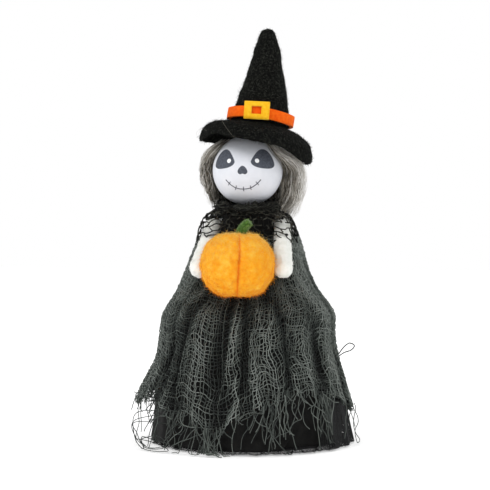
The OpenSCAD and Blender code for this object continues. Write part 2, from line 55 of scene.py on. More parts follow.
MM = 0.001
HEAD_AT = np.array([0.0, 0.0, 197.0])
HEAD_R = 25.5
HAT_AT = np.array([7.5, 2.0, 224.5])
HAT_BACK = -6.0
BRIM_LEAN = 8.5
CONE_LEAN = 4.5
HAT_H = 76.0
BRIM_R = 41.5
BAND_R = 24.2
PUMPKIN_AT = np.array([0.0, -48.0, 130.0])
PUMPKIN_R = 26.0
PUMPKIN_HALF_H = 24.2
ARM_TOP = np.array([25.5, -1.0, 156.0])
ARM_END = np.array([30.0, -32.0, 127.0])
ARM_R = (5.8, 6.8)
BODICE_R = 20.0
MAX_TRIS = 180000             # triangles in one piece


def lin(code):
    """A #rrggbb colour as linear values with alpha."""
    parts = [int(code[i:i + 2], 16) / 255 for i in (1, 3, 5)]
    return tuple(c / 12.92 if c <= 0.04045 else ((c + 0.055) / 1.055) ** 2.4 for c in parts) + (1.0,)


# ---------- small numeric helpers ----------

def rng(seed):
    return np.random.default_rng(seed)


def ease(value, low, high):
    """0 below low, 1 above high, smooth between."""
    t = np.clip((np.asarray(value, float) - low) / (high - low), 0, 1)
    return t * t * (3 - 2 * t)


def wobble(points, size, seed):
    """A smooth random field of about -1 to 1, with bumps about size across."""
    g = rng(seed)
    waves = g.normal(0, 1, (9, 3)) * (3.6 / size)
    phase = g.uniform(0, 2 * math.pi, 9)
    return np.sin(np.asarray(points) @ waves.T + phase).sum(-1) / 4.2


def wobble3(points, size, seed):
    return np.stack([wobble(points, size, seed + 11 * k) for k in range(3)], -1)


def spline(points, count, closed=False):
    """A smooth curve through the points, as count points."""
    p = np.asarray(points, float)
    n = len(p)
    spans = n if closed else n - 1
    s = np.linspace(0, spans, count, endpoint=not closed)
    i = np.minimum(s.astype(int), spans - 1)
    t = (s - i)[:, None]
    if closed:
        a, b, c, d = (p[(i + k) % n] for k in (-1, 0, 1, 2))
    else:
        a, b, c, d = (p[np.clip(i + k, 0, n - 1)] for k in (-1, 0, 1, 2))
    return 0.5 * (2 * b + (c - a) * t + (2 * a - 5 * b + 4 * c - d) * t ** 2 + (3 * b - a - 3 * c + d) * t ** 3)


def even(points, count):
    """The same open curve with its points evenly spaced along it."""
    p = np.asarray(points, float)
    run = np.concatenate([[0], np.cumsum(np.linalg.norm(np.diff(p, axis=0), axis=1))])
    want = np.linspace(0, run[-1], count)
    return np.stack([np.interp(want, run, p[:, k]) for k in range(p.shape[1])], -1)


def unit(v):
    return v / np.maximum(np.linalg.norm(v, axis=-1, keepdims=True), 1e-9)


def round_z(radius, angle, z):
    """Points at a radius and an angle in radians from +X, at height z."""
    return np.stack(np.broadcast_arrays(radius * np.cos(angle), radius * np.sin(angle), z), -1)


def turn_matrix(back, lean):
    a, b = math.radians(back), math.radians(lean)
    about_x = np.array([[1, 0, 0], [0, math.cos(a), -math.sin(a)], [0, math.sin(a), math.cos(a)]])
    about_y = np.array([[math.cos(b), 0, math.sin(b)], [0, 1, 0], [-math.sin(b), 0, math.cos(b)]])
    return about_y @ about_x


def in_hat(points, lean=BRIM_LEAN):
    return points @ turn_matrix(HAT_BACK, lean).T + HAT_AT


def on_ball(lon, lat, out=0.0):
    """Points over the head ball; longitude 0 is the face's middle, positive towards the figure's left."""
    lon, lat = np.radians(lon), np.radians(lat)
    d = np.stack([np.sin(lon) * np.cos(lat), -np.cos(lon) * np.cos(lat), np.sin(lat)], -1)
    return HEAD_AT + d * (HEAD_R + np.asarray(out))[..., None]


# ---------- meshes ----------

def add_mesh(name, points_mm, faces, material, smooth=True):
    """A mesh object from points in millimetres and a list of face arrays."""
    me = bpy.data.meshes.new(name)
    points = np.asarray(points_mm, float).reshape(-1, 3) * MM
    faces = [np.asarray(f, np.int32) for f in faces if len(f)]
    me.vertices.add(len(points))
    me.vertices.foreach_set("co", points.astype(np.float32).ravel())
    corners = np.concatenate([f.ravel() for f in faces])
    sizes = np.concatenate([np.full(len(f), f.shape[1]) for f in faces])
    me.loops.add(len(corners))
    me.loops.foreach_set("vertex_index", corners)
    me.polygons.add(len(sizes))
    me.polygons.foreach_set("loop_start", np.concatenate([[0], np.cumsum(sizes)[:-1]]).astype(np.int32))
    me.update(calc_edges=True)
    me.validate()
    if smooth:
        me.shade_smooth()
    me.materials.append(material)
    o = bpy.data.objects.new(name, me)
    bpy.context.scene.collection.objects.link(o)
    return o


def clean(o, distance=0.002):
    """Joins doubled points and makes the faces look outwards."""
    bm = bmesh.new()
    bm.from_mesh(o.data)
    bmesh.ops.remove_doubles(bm, verts=bm.verts, dist=distance * MM)
    bmesh.ops.recalc_face_normals(bm, faces=bm.faces)
    bm.to_mesh(o.data)
    bm.free()
    return o


def grid_faces(rows, cols, wrap_rows=False, wrap_cols=True):
    i = np.arange(rows if wrap_rows else rows - 1)
    j = np.arange(cols if wrap_cols else cols - 1)
    a, b = np.meshgrid(i, j, indexing="ij")
    a2, b2 = (a + 1) % rows, (b + 1) % cols
    return np.stack([a * cols + b, a * cols + b2, a2 * cols + b2, a2 * cols + b], -1).reshape(-1, 4)


def lathe(name, profile, cols, material, shape=None, closed=True):
    """Turns (radius, z) points into a solid. shape may move the (rows, cols, 3) points before they are used."""
    profile = np.asarray(profile, float)
    angle = np.linspace(0, 2 * math.pi, cols, endpoint=False)
    points = round_z(profile[:, :1], angle[None, :], profile[:, 1:])
    if shape is not None:
        points = shape(points)
    return clean(add_mesh(name, points, [grid_faces(len(profile), cols, wrap_rows=closed)], material))


def put(o, body, *nodes, slot=None):
    """The piece rides on a CAD body and stands for CAD nodes."""
    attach(o, body)
    if nodes:
        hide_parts(*nodes)
    return o


def tube_arrays(paths, radius, sides):
    """Closed tubes round (strands, points, 3) paths: the points and the faces, quads then caps."""
    paths = np.asarray(paths, float)
    strands, n, _ = paths.shape
    along = unit(np.gradient(paths, axis=1))
    ref = np.cross(unit(along.mean(1)), [0.31, 0.77, 0.56])
    ref = unit(np.where(np.linalg.norm(ref, axis=-1, keepdims=True) < 0.1, [1.0, 0.1, 0.0], ref))
    a = unit(np.cross(along, ref[:, None, :]) + 1e-4)
    b = np.cross(along, a)
    r = np.broadcast_to(np.asarray(radius, float).reshape(-1, 1) if np.ndim(radius) == 1 else radius, (strands, n))
    turn = 2 * math.pi * np.arange(sides) / sides
    ring = np.cos(turn)[:, None] * a[:, :, None, :] + np.sin(turn)[:, None] * b[:, :, None, :]
    points = paths[:, :, None, :] + ring * r[:, :, None, None]
    first = np.arange(strands)[:, None, None] * n * sides
    i = np.arange(n - 1)[None, :, None] * sides
    k = np.arange(sides)[None, None, :]
    k2 = (k + 1) % sides
    quads = np.stack(np.broadcast_arrays(first + i + k, first + i + k2, first + i + sides + k2, first + i + sides + k), -1)
    start = np.arange(strands)[:, None] * n * sides
    caps = np.concatenate([start + np.arange(sides)[::-1], start + (n - 1) * sides + np.arange(sides)])
    return points.reshape(-1, 3), quads.reshape(-1, 4), caps


def strand_map(o, strands, n, sides, tint_and_shade):
    """One cell of the texture map for each strand, and the strand's own tone for its material; for the gauze and the
    hair it also carries painted shade.
    """
    across = math.ceil(math.sqrt(strands))
    index = np.arange(strands)
    left, low = (index % across) / across, (index // across) / across
    cell = 0.8 / across
    along = np.linspace(0, cell, n)
    round_u = np.linspace(0, cell, sides)
    u = np.broadcast_to(left[:, None, None] + round_u[None, None, :], (strands, n, sides)).ravel()
    v = np.broadcast_to(low[:, None, None] + along[None, :, None], (strands, n, sides)).ravel()
    corners = np.zeros(len(o.data.loops), np.int32)
    o.data.loops.foreach_get("vertex_index", corners)
    layer = o.data.uv_layers.new(name="OFBake")
    layer.data.foreach_set("uv", np.stack([u[corners], v[corners]], -1).astype(np.float32).ravel())
    shade = o.data.attributes.new("tint_and_shade", "FLOAT", "POINT")
    own = np.broadcast_to(tint_and_shade.reshape(strands, -1), (strands, n)).ravel()
    shade.data.foreach_set("value", np.repeat(own, sides).astype(np.float32))


def strands(name, groups, material, body, sides=3, seed=1, finish=None, tints_and_shades=None):
    """Closed tubes for groups of (paths, radius), split into pieces of limited size."""
    made = []
    for g, (paths, radius) in enumerate(groups):
        paths = np.asarray(paths, float)
        count, n, _ = paths.shape
        each = (n - 1) * sides * 2 + 2 * (sides - 2)
        step = max(1, MAX_TRIS // each)
        tint_and_shade = rng(seed + 7 * g).uniform(0, 1, count) if tints_and_shades is None else tints_and_shades[g]
        full = np.broadcast_to(np.asarray(radius, float).reshape(-1, 1) if np.ndim(radius) == 1 else radius, (count, n))
        for s in range(0, count, step):
            points, quads, caps = tube_arrays(paths[s:s + step], full[s:s + step], sides)
            o = add_mesh(name if not made else f"{name}_{len(made) + 1}", points, [quads, caps], material)
            strand_map(o, len(paths[s:s + step]), n, sides, tint_and_shade[s:s + step])
            made.append(o)
    for o in made:
        if finish:
            finish(o)
        else:
            put(o, body)
    return made


def surface_samples(o, count, seed):
    """Random points over a mesh, evenly by area, with their face normals, in millimetres."""
    me = o.data
    me.calc_loop_triangles()
    tris = np.zeros(len(me.loop_triangles) * 3, np.int32)
    me.loop_triangles.foreach_get("vertices", tris)
    co = np.zeros(len(me.vertices) * 3)
    me.vertices.foreach_get("co", co)
    a, b, c = (co.reshape(-1, 3)[tris.reshape(-1, 3)[:, k]] / MM for k in range(3))
    cross = np.cross(b - a, c - a)
    area = np.linalg.norm(cross, axis=1)
    g = rng(seed)
    pick = g.choice(len(area), count, p=area / area.sum())
    u, v = g.uniform(0, 1, (2, count, 1))
    flip = u + v > 1
    u, v = np.where(flip, 1 - u, u), np.where(flip, 1 - v, v)
    return a[pick] + u * (b - a)[pick] + v * (c - a)[pick], unit(cross)[pick]


def fuzz(name, o, count, length, radius, material, body, lift=0.35, curl=0.6, seed=5, keep=None, bend_points=4):
    """Short loose fibres over a piece, lying mostly flat and curling away."""
    p, n = surface_samples(o, count, seed)
    if keep is not None:
        mask = keep(p, n)
        p, n = p[mask], n[mask]
    g = rng(seed + 1)
    flat = unit(np.cross(n, g.normal(0, 1, n.shape)))
    side = np.cross(n, flat)
    rise = np.abs(g.normal(0, lift, (len(p), 1)))
    size = length * g.uniform(0.35, 1.3, (len(p), 1))
    twist = g.normal(0, curl, (len(p), 1))
    t = np.linspace(0, 1, bend_points)[None, :, None]
    path = (p - 0.15 * n)[:, None] + size[:, None] * (t * (flat + rise * n)[:, None] + t ** 2 * (twist * side)[:, None]
                                                     + t ** 2 * (g.normal(0, 0.25, (len(p), 1)) * n)[:, None])
    taper = radius * (1 - 0.55 * t[0, :, 0])[None, :] * np.ones((len(p), 1))
    return strands(name, [(path, taper)], material, body, seed=seed)


# ---------- materials ----------

def nodes_of(name, rough, sheen=0.0, metallic=0.0, sheen_tint="#ffffff", shine=0.1):
    m = bpy.data.materials.new(name)
    m.use_nodes = True
    nt = m.node_tree
    p = nt.nodes["Principled BSDF"]
    p.inputs["Roughness"].default_value = rough
    p.inputs["Metallic"].default_value = metallic
    p.inputs["Specular IOR Level"].default_value = shine
    p.inputs["Sheen Weight"].default_value = sheen
    p.inputs["Sheen Roughness"].default_value = 0.4
    p.inputs["Sheen Tint"].default_value = lin(sheen_tint)
    coords = nt.nodes.new("ShaderNodeTexCoord")
    return m, nt, p, coords


def noise(nt, coords, size_mm, detail=3.0, rough=0.55, stretch=None):
    """A noise texture with bumps about size_mm across, in object space."""
    tex = nt.nodes.new("ShaderNodeTexNoise")
    tex.inputs["Scale"].default_value = 1 / (size_mm * MM)
    tex.inputs["Detail"].default_value = detail
    tex.inputs["Roughness"].default_value = rough
    source = coords.outputs["Object"]
    if stretch is not None:
        mapping = nt.nodes.new("ShaderNodeMapping")
        mapping.inputs["Scale"].default_value = stretch
        nt.links.new(source, mapping.inputs["Vector"])
        source = mapping.outputs["Vector"]
    nt.links.new(source, tex.inputs["Vector"])
    return tex.outputs["Fac"]


def ramp(nt, value, stops):
    """Colours at places from 0 to 1 along a value."""
    node = nt.nodes.new("ShaderNodeValToRGB")
    band = node.color_ramp
    while len(band.elements) < len(stops):
        band.elements.new(0.5)
    for e, (place, colour) in zip(band.elements, stops):
        e.position = place
        e.color = lin(colour)
    nt.links.new(value, node.inputs["Fac"])
    return node.outputs["Color"]


def mix(nt, value, a, b, kind="MIX"):
    node = nt.nodes.new("ShaderNodeMix")
    node.data_type = "RGBA"
    node.blend_type = kind
    if isinstance(value, (int, float)):
        node.inputs["Factor"].default_value = value
    else:
        nt.links.new(value, node.inputs["Factor"])
    nt.links.new(a, node.inputs["A"])
    nt.links.new(b, node.inputs["B"])
    return node.outputs["Result"]


def bump(nt, p, value, depth_mm, strength=1.0):
    node = nt.nodes.new("ShaderNodeBump")
    node.inputs["Strength"].default_value = strength
    node.inputs["Distance"].default_value = depth_mm * MM
    nt.links.new(value, node.inputs["Height"])
    nt.links.new(node.outputs["Normal"], p.inputs["Normal"])


def attribute(nt, name):
    node = nt.nodes.new("ShaderNodeAttribute")
    node.attribute_name = name
    return node.outputs["Fac"]


def mottled(name, stops, size_mm, rough=0.85, sheen=0.0, grain_mm=0.6, depth_mm=0.25, metallic=0.0, stretch=None,
            sheen_tint="#ffffff"):
    """A surface with patchy colour and a fine grain: felt, moulded plastic, card or metal by its numbers."""
    m, nt, p, coords = nodes_of(name, rough, sheen, metallic, sheen_tint, 0.5 if rough < 0.6 else 0.1)
    nt.links.new(ramp(nt, noise(nt, coords, size_mm, 4, 0.6, stretch), stops), p.inputs["Base Color"])
    bump(nt, p, noise(nt, coords, grain_mm, 3, 0.7, stretch), depth_mm)
    return m


def strand_material(name, stops, rough=0.8, sheen=0.2, sheen_tint="#ffffff"):
    """Yarn or hair: each strand has its own tone, and it varies a little along its length; for the gauze and the hair
    the tone also carries painted shade.
    """
    m, nt, p, coords = nodes_of(name, rough, sheen, 0.0, sheen_tint)
    # the strand attribute: each strand's own tone, with painted shade for the gauze and the hair
    own = attribute(nt, "tint_and_shade")
    local = noise(nt, coords, 2.5, 2)
    both = nt.nodes.new("ShaderNodeMath")
    both.operation = "MULTIPLY_ADD"
    nt.links.new(local, both.inputs[0])
    both.inputs[1].default_value = 0.35
    nt.links.new(own, both.inputs[2])
    shifted = nt.nodes.new("ShaderNodeMath")
    shifted.operation = "SUBTRACT"
    nt.links.new(both.outputs[0], shifted.inputs[0])
    shifted.inputs[1].default_value = 0.17
    nt.links.new(ramp(nt, shifted.outputs[0], stops), p.inputs["Base Color"])
    return m


def woven(name, stops, pitch_mm, rough=0.8, sheen=0.2, depth_mm=0.15):
    """Plain-woven cloth: crossed ribs over patchy colour."""
    m, nt, p, coords = nodes_of(name, rough, sheen)
    ribs = []
    for direction in ("X", "Z"):
        wave = nt.nodes.new("ShaderNodeTexWave")
        wave.wave_type, wave.bands_direction = "BANDS", direction
        wave.inputs["Scale"].default_value = 0.31 / (pitch_mm * MM)
        wave.inputs["Distortion"].default_value = 0.8
        nt.links.new(coords.outputs["Object"], wave.inputs["Vector"])
        ribs.append(wave.outputs["Fac"])
    cross = nt.nodes.new("ShaderNodeMath")
    cross.operation = "MULTIPLY"
    nt.links.new(ribs[0], cross.inputs[0])
    nt.links.new(ribs[1], cross.inputs[1])
    colour = ramp(nt, noise(nt, coords, 6, 4), stops)
    nt.links.new(colour, p.inputs["Base Color"])
    bump(nt, p, cross.outputs[0], depth_mm)
    return m


MATERIALS = {
    "black_felt": mottled("black_felt", [(0.36, "#060606"), (0.52, "#131412"), (0.68, "#30322c")], 1.5, 1.0, 0.0, 0.8, 1.6),
    "black_fibre": strand_material("black_fibre", [(0.0, "#070807"), (0.5, "#141514"), (0.85, "#34362f"), (1.0, "#62655d")], 1.0, 0.0),
    "orange_felt": mottled("orange_felt", [(0.3, "#f2560a"), (0.7, "#ff7417")], 2.2, 0.9, 0.3, 0.35, 0.25, sheen_tint="#ffb070"),
    "yellow_felt": mottled("yellow_felt", [(0.3, "#f7b213"), (0.7, "#ffcb33")], 2.2, 0.9, 0.3, 0.35, 0.25, sheen_tint="#ffe9a0"),
    "cream_felt": mottled("cream_felt", [(0.3, "#eff1e9"), (0.7, "#fcfcf8")], 4.0, 0.95, 0.35, 0.45, 0.18),
    "cream_fibre": strand_material("cream_fibre", [(0.0, "#eceee5"), (1.0, "#fdfdfa")], 0.9, 0.3),
    "green_felt": mottled("green_felt", [(0.3, "#2d4619"), (0.55, "#4a6d2c"), (0.75, "#76954a")], 1.5, 0.95, 0.3, 0.4, 0.4),
    "green_fibre": strand_material("green_fibre", [(0.0, "#3a5821"), (1.0, "#86a45c")], 0.9, 0.3),
    "pumpkin_fibre": strand_material("pumpkin_fibre", [(0.0, "#f58a0c"), (0.5, "#ffb22c"), (1.0, "#ffd977")], 0.9, 0.3, "#ffd9a0"),
    "hair": strand_material("hair", [(0.0, "#403c34"), (0.3, "#7d776b"), (0.6, "#b9b4aa"), (1.0, "#f4f2ee")], 0.6, 0.1),
    "gauze": strand_material("gauze", [(0.0, "#1a1c1b"), (0.35, "#3b403d"), (0.65, "#616762"), (1.0, "#898f8a")], 0.95, 0.08),
    "net": strand_material("net", [(0.0, "#0c0c0b"), (0.6, "#1d1d1a"), (1.0, "#45463f")], 0.9, 0.05),
    "tulle": strand_material("tulle", [(0.0, "#121212"), (1.0, "#2c2d2e")], 0.8, 0.1),
    "black_cloth": woven("black_cloth", [(0.3, "#0b0b0b"), (0.7, "#1a1a19")], 0.7, 0.85, 0.04),
    "ball_paint": mottled("ball_paint", [(0.25, "#dadde4"), (0.75, "#e4e6ec")], 9.0, 0.62, 0.0, 0.8, 0.03),
    "eye_paint": mottled("eye_paint", [(0.25, "#44474f"), (0.5, "#52565f"), (0.75, "#666a74")], 1.1, 0.7, 0.0, 0.5, 0.04),
    "glint_paint": mottled("glint_paint", [(0.3, "#f4f7fb"), (0.7, "#ffffff")], 1.0, 0.6, 0.0, 0.5, 0.02),
    "mouth_paint": mottled("mouth_paint", [(0.3, "#3a3d45"), (0.7, "#5a5e67")], 0.8, 0.7, 0.0, 0.4, 0.03),
}


def pumpkin_material():
    m, nt, p, coords = nodes_of("pumpkin_felt", 0.95, 0.35, sheen_tint="#ffd08a")
    body = ramp(nt, noise(nt, coords, 5.0, 5, 0.65), [(0.3, "#fb9c12"), (0.5, "#ffb62c"), (0.72, "#ffcd50")])
    # painted shade in the creases: a darker orange mixed in by how near each point lies to the line of one of the
    # creases
    crease_shade_colour = ramp(nt, noise(nt, coords, 2.0, 3), [(0.3, "#ee6f08"), (0.7, "#fb8a18")])
    nt.links.new(mix(nt, attribute(nt, "crease_shade"), body, crease_shade_colour), p.inputs["Base Color"])
    bump(nt, p, noise(nt, coords, 0.9, 4, 0.75), 0.6)
    return m


MATERIALS["pumpkin_felt"] = pumpkin_material()

# The CAD nodes that stay on show, by the record's material slot
HARD = {
    "black_plastic": mottled("black_plastic", [(0.3, "#17181a"), (0.7, "#222427")], 6.0, 0.5, 0.0, 0.35, 0.05),
    "white_plastic": mottled("white_plastic", [(0.3, "#dcdad2"), (0.7, "#e9e8e2")], 8.0, 0.45, 0.0, 0.5, 0.03),
    "gear_plastic": mottled("gear_plastic", [(0.3, "#e3dfcf"), (0.7, "#f1eee2")], 6.0, 0.35, 0.0, 0.5, 0.02),
    "steel": mottled("steel", [(0.3, "#8f9092"), (0.7, "#b6b8ba")], 2.0, 0.32, 0.0, 0.3, 0.02, 1.0, (1, 6, 1)),
    "zinc_plate": mottled("zinc_plate", [(0.3, "#a9abae"), (0.7, "#c9cbcf")], 3.0, 0.25, 0.0, 0.6, 0.02, 1.0),
    "magnet": mottled("magnet", [(0.3, "#2f2f32"), (0.7, "#434347")], 1.0, 0.7, 0.0, 0.3, 0.06, 0.3),
    "brass": mottled("brass", [(0.3, "#a8863e"), (0.7, "#caa75a")], 2.0, 0.3, 0.0, 0.3, 0.02, 1.0),
    "cell_wrap": mottled("cell_wrap", [(0.35, "#1a1a1d"), (0.6, "#a5601f")], 30.0, 0.35, 0.0, 0.6, 0.01, 0.0, (0.8, 0.01, 0.01)),
    "rubber": mottled("rubber", [(0.3, "#141414"), (0.7, "#202020")], 2.0, 0.9, 0.0, 0.4, 0.06),
    "red_pvc": mottled("red_pvc", [(0.3, "#a01812"), (0.7, "#c4231a")], 3.0, 0.4, 0.0, 0.5, 0.02),
    "black_pvc": mottled("black_pvc", [(0.3, "#111111"), (0.7, "#1c1c1c")], 3.0, 0.4, 0.0, 0.5, 0.02),
    "buckram": mottled("buckram", [(0.3, "#121214"), (0.7, "#1e1e20")], 2.0, 0.9, 0.1, 0.5, 0.12),
    "fibre_fill": mottled("fibre_fill", [(0.3, "#d8d8d4"), (0.7, "#eeeeea")], 3.0, 1.0, 0.4, 0.7, 0.5),
}


def dress_cad_nodes():
    slots = {s["node"]: s["material_slot"] for s in frame["record"]["subparts"]}
    for name, o in frame["nodes"].items():
        if slots[name] in HARD:
            o.data.materials.clear()
            o.data.materials.append(HARD[slots[name]])


# ---------- head and face ----------

# The painted face, in degrees over the ball from its middle; both sides are the same shape
EYE_AT = (35.5, 11.0)
EYE_HALF_WIDE = 22.0
EYE_UP = 24.0
EYE_DOWN = 9.5
EYE_TAPER = 0.26              # how much narrower an eye is towards its top
EYE_TILT = 0.08               # how much lower its outer side hangs
EYE_LEAN = 4.0                # how far outwards its top leans
NOSE_AT = -1.5
NOSE_HALF_WIDE = 7.6
NOSE_HALF_TALL = 7.2
NOSE_NOTCH = 2.0
GLINT_AT = (24.0, 14.0)
GLINT_R = 3.6
SMILE_HALF_WIDE = 31.0
SMILE_LOW = -33.0
SMILE_DEEP = 16.5
SMILE_POINTS = 80
STITCHES = 5


def paint_patch(name, outline, out, material, rings=7):
    """A painted shape on the ball, given by its outline in degrees."""
    edge = spline(outline, 72, closed=True)
    middle = edge.mean(0)
    share = np.linspace(0, 1, rings)[:, None, None]
    spots = middle + (edge - middle)[None] * share
    points = on_ball(spots[..., 0], spots[..., 1], np.full(spots.shape[:2], out))
    return put(clean(add_mesh(name, points, [grid_faces(rings, 72)], material)), "figure")


def eye_outline(side):
    """An eye socket: a narrow round top, a flatter foot and a low outer corner."""
    turn = np.linspace(0, 2 * math.pi, 32, endpoint=False)
    up = np.maximum(np.sin(turn), 0)
    down = np.maximum(-np.sin(turn), 0)
    across = EYE_HALF_WIDE * np.sign(np.cos(turn)) * np.abs(np.cos(turn)) ** 0.85 * (1 - EYE_TAPER * up) + EYE_LEAN * up
    height = EYE_UP * up - EYE_DOWN * down ** 0.85 - EYE_TILT * across
    return np.stack([side * (EYE_AT[0] + across), EYE_AT[1] + height], -1)


def nose_outline():
    """A round-topped nose, wider below, with a notch in its foot."""
    turn = np.linspace(0, 2 * math.pi, 32, endpoint=False)
    across = NOSE_HALF_WIDE * np.sin(turn) * (1 - 0.35 * np.cos(turn))
    notch = NOSE_NOTCH * np.exp(-(across / 2.5) ** 2) * (np.cos(turn) < 0)
    return np.stack([across, NOSE_AT + NOSE_HALF_TALL * np.cos(turn) + notch], -1)


def smile_line():
    """The mouth: one upward curve, evenly spaced along its length."""
    across = np.linspace(-1, 1, SMILE_POINTS)
    curve = np.stack([SMILE_HALF_WIDE * across, SMILE_LOW + SMILE_DEEP * np.abs(across) ** 2.5], -1)
    return even(curve, SMILE_POINTS)


def circle_outline(lon, lat, size):
    turn = np.linspace(0, 2 * math.pi, 16, endpoint=False)
    return np.stack([lon + size * np.cos(turn) / math.cos(math.radians(lat)), lat + size * np.sin(turn)], -1)


def build_head():
    angles = np.radians(np.linspace(-90, 90, 97))
    profile = np.stack([HEAD_R * np.cos(angles), HEAD_AT[2] + HEAD_R * np.sin(angles)], -1)
    o = lathe("head_ball_visual", profile, 192, MATERIALS["ball_paint"], closed=False)
    put(o, "figure", "head_ball", slot="painted_ball")
    for name, side in (("right", -1), ("left", 1)):
        paint_patch(f"painted_eye_{name}", eye_outline(side), 0.06, MATERIALS["eye_paint"])
    paint_patch("painted_nose", nose_outline(), 0.06, MATERIALS["eye_paint"])
    for name, side in (("right", -1), ("left", 1)):
        glint = circle_outline(side * GLINT_AT[0], GLINT_AT[1], GLINT_R)
        paint_patch(f"painted_glint_{name}", glint, 0.12, MATERIALS["glint_paint"], 4)
    smile = smile_line()
    lines = [(on_ball(smile[None, :, 0], smile[None, :, 1], np.full((1, SMILE_POINTS), 0.02)), 0.33)]
    marks = []
    for k in range(STITCHES):
        spot = int(SMILE_POINTS * (0.12 + 0.76 * k / (STITCHES - 1)))
        at = smile[spot]
        ahead = smile[min(SMILE_POINTS - 1, spot + 2)] - at
        across = np.array([-ahead[1], ahead[0]]) / np.hypot(*ahead)
        reach = 4.2 * np.linspace(-1, 1, 8)[:, None]
        marks.append(at + across * reach + np.array([0.4, 0.0]) * np.sign(reach) * (k % 2))
    marks = np.array(marks)
    lines.append((on_ball(marks[..., 0], marks[..., 1], np.full(marks.shape[:2], 0.02)), 0.27))
    strands("painted_smile", lines, MATERIALS["mouth_paint"], "figure", sides=6, seed=31)


# ---------- hair ----------

HAIR_LEFT = [(162, 29), (168, 32.5), (174.5, 35.5), (182, 37.5), (195, 38.5), (208, 37.5), (219, 32)]
HAIR_RIGHT = [(162, 24), (172, 25), (178.4, 26.5), (183.5, 29.5), (189, 32.8), (198, 33.6), (209.6, 32.8), (219, 28)]
HAIR_BACK = [(160, 30), (168, 32.5), (182, 34.5), (197, 35), (210, 33), (219, 28)]


def hair_reach(lon, z, fill):
    """Distance of the hair from the head's axis; fill runs from the ball (0) to the outline of the hair (1)."""
    table = [np.interp(z, *zip(*curve)) for curve in (HAIR_LEFT, HAIR_RIGHT, HAIR_BACK)]
    left = ease(lon, 30, 90) * (1 - ease(lon, 125, 170))
    right = ease(-lon, 30, 90) * (1 - ease(-lon, 125, 170))
    outer = table[0] * left + table[1] * right + table[2] * (1 - left - right)
    dz = z - HEAD_AT[2]
    ball = np.sqrt(np.maximum((HEAD_R + 0.6) ** 2 - np.where(dz > 0, dz, dz * 0.55) ** 2, 60))
    return ball + np.maximum(outer - ball, 0.3) * fill


def hair_paths(count, seed, low_fill, high_fill):
    """Strands that start under the hat, lie over the sides and back of the ball and hang free below it."""
    g = rng(seed)
    n = 14
    turn = g.uniform(-1, 1, count)
    left = turn > 0                                     # the figure's left
    edge = np.where(left, 93.0, 86.0)
    lon_end = np.sign(turn) * (edge + (180 - edge) * np.abs(turn) ** 1.3 + g.normal(0, 2.0, count))
    lon_start = lon_end * np.where(left, g.uniform(0.55, 1.0, count), g.uniform(0.66, 1.0, count))
    fill = low_fill + (high_fill - low_fill) * g.uniform(0, 1, count) ** 0.8
    top = g.uniform(213, 219.5, count)
    bottom = np.where(left, g.normal(166, 4.5, count), g.normal(176, 3.5, count))
    bottom = np.where(np.abs(lon_end) > 120, g.normal(168, 4, count), bottom)
    t = np.linspace(0, 1, n)[None, :]
    z = top[:, None] + (bottom - top)[:, None] * t ** 0.92
    lon = lon_start[:, None] + (lon_end - lon_start)[:, None] * ease(t, 0, 0.45)
    rho = hair_reach(lon, z, fill[:, None] * ease(t, -0.25, 0.35))
    a = np.radians(lon)
    p = np.stack([rho * np.sin(a), -rho * np.cos(a), z], -1)
    wave = 0.5 + 1.0 * t[..., None]
    p += (wobble3(p, 22.0, seed + 3) * 1.1 + wobble3(p, 6.0, seed + 30) * 1.0) * wave
    curl = np.sin(t * g.uniform(4, 14, (count, 1)) + g.uniform(0, 6.28, (count, 1))) * 0.7
    p += curl[..., None] * g.normal(0, 1, (count, 1, 3)) * wave
    return p, fill, left


STRAY_HAIRS = [[(-13.5, -38, 233), (-9, -43.5, 226), (-2, -45.5, 217.5)], [(-32, -24, 222), (-29, -31, 226), (-24, -36, 224)],
               [(-34, -14, 220), (-36, -10, 224), (-33, -6, 228)]]


def build_hair():
    full, fill, left = hair_paths(4600, 40, 0.0, 1.0)
    loose, _, _ = hair_paths(380, 50, 0.9, 1.25)
    taper = np.concatenate([np.full(11, 1.0), [0.85, 0.7, 0.4]])[None, :]
    stray = np.array([spline(line, 14) for line in STRAY_HAIRS])
    # painted shade under the outer hair: strands that lie nearer the ball get lower values, the loose outer strands
    # higher ones; the figure's left side gets a lighter range than its right
    tint_and_shade = np.clip(np.where(left, 0.30 + 0.35 * fill, 0.22 + 0.2 * fill) + rng(41).normal(0, 0.27, len(full)), 0, 1)
    groups = [(full, 0.17 * taper * np.ones((len(full), 1))), (loose, 0.08 * taper * np.ones((len(loose), 1))),
              (stray, 0.05)]
    pieces = strands("wool_hair", groups, MATERIALS["hair"], "figure", seed=42, 
                     tints_and_shades=[tint_and_shade, rng(43).uniform(0.5, 1, len(loose)), np.full(len(stray), 0.35)])
    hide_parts("wig")


# ---------- hat ----------

BRIM_TOP = [(16.5, 7.6), (18.8, 6.8), (21.5, 5.0), (26, 3.2), (31, 1.4), (35.5, -1.4), (39, -5.2), (41.2, -10.0)]
BRIM_UNDER = [(40.2, -12.0), (38.0, -8.4), (34.5, -4.6), (30, -1.8), (25, 0.2), (20, 2.0), (16.6, 3.6), (14.6, 5.4)]
CONE_OUT = [(21.2, 5.4), (20.2, 14), (17.0, 28), (13.5, 42), (10.2, 56), (7.6, 67), (6.2, 71.5), (4.6, 74.6), (2.2, HAT_H - 0.3), (0, HAT_H)]
CONE_IN = [(0, 70), (4.5, 66), (8.0, 54), (10.6, 40), (16.2, 14), (17.6, 5.4)]


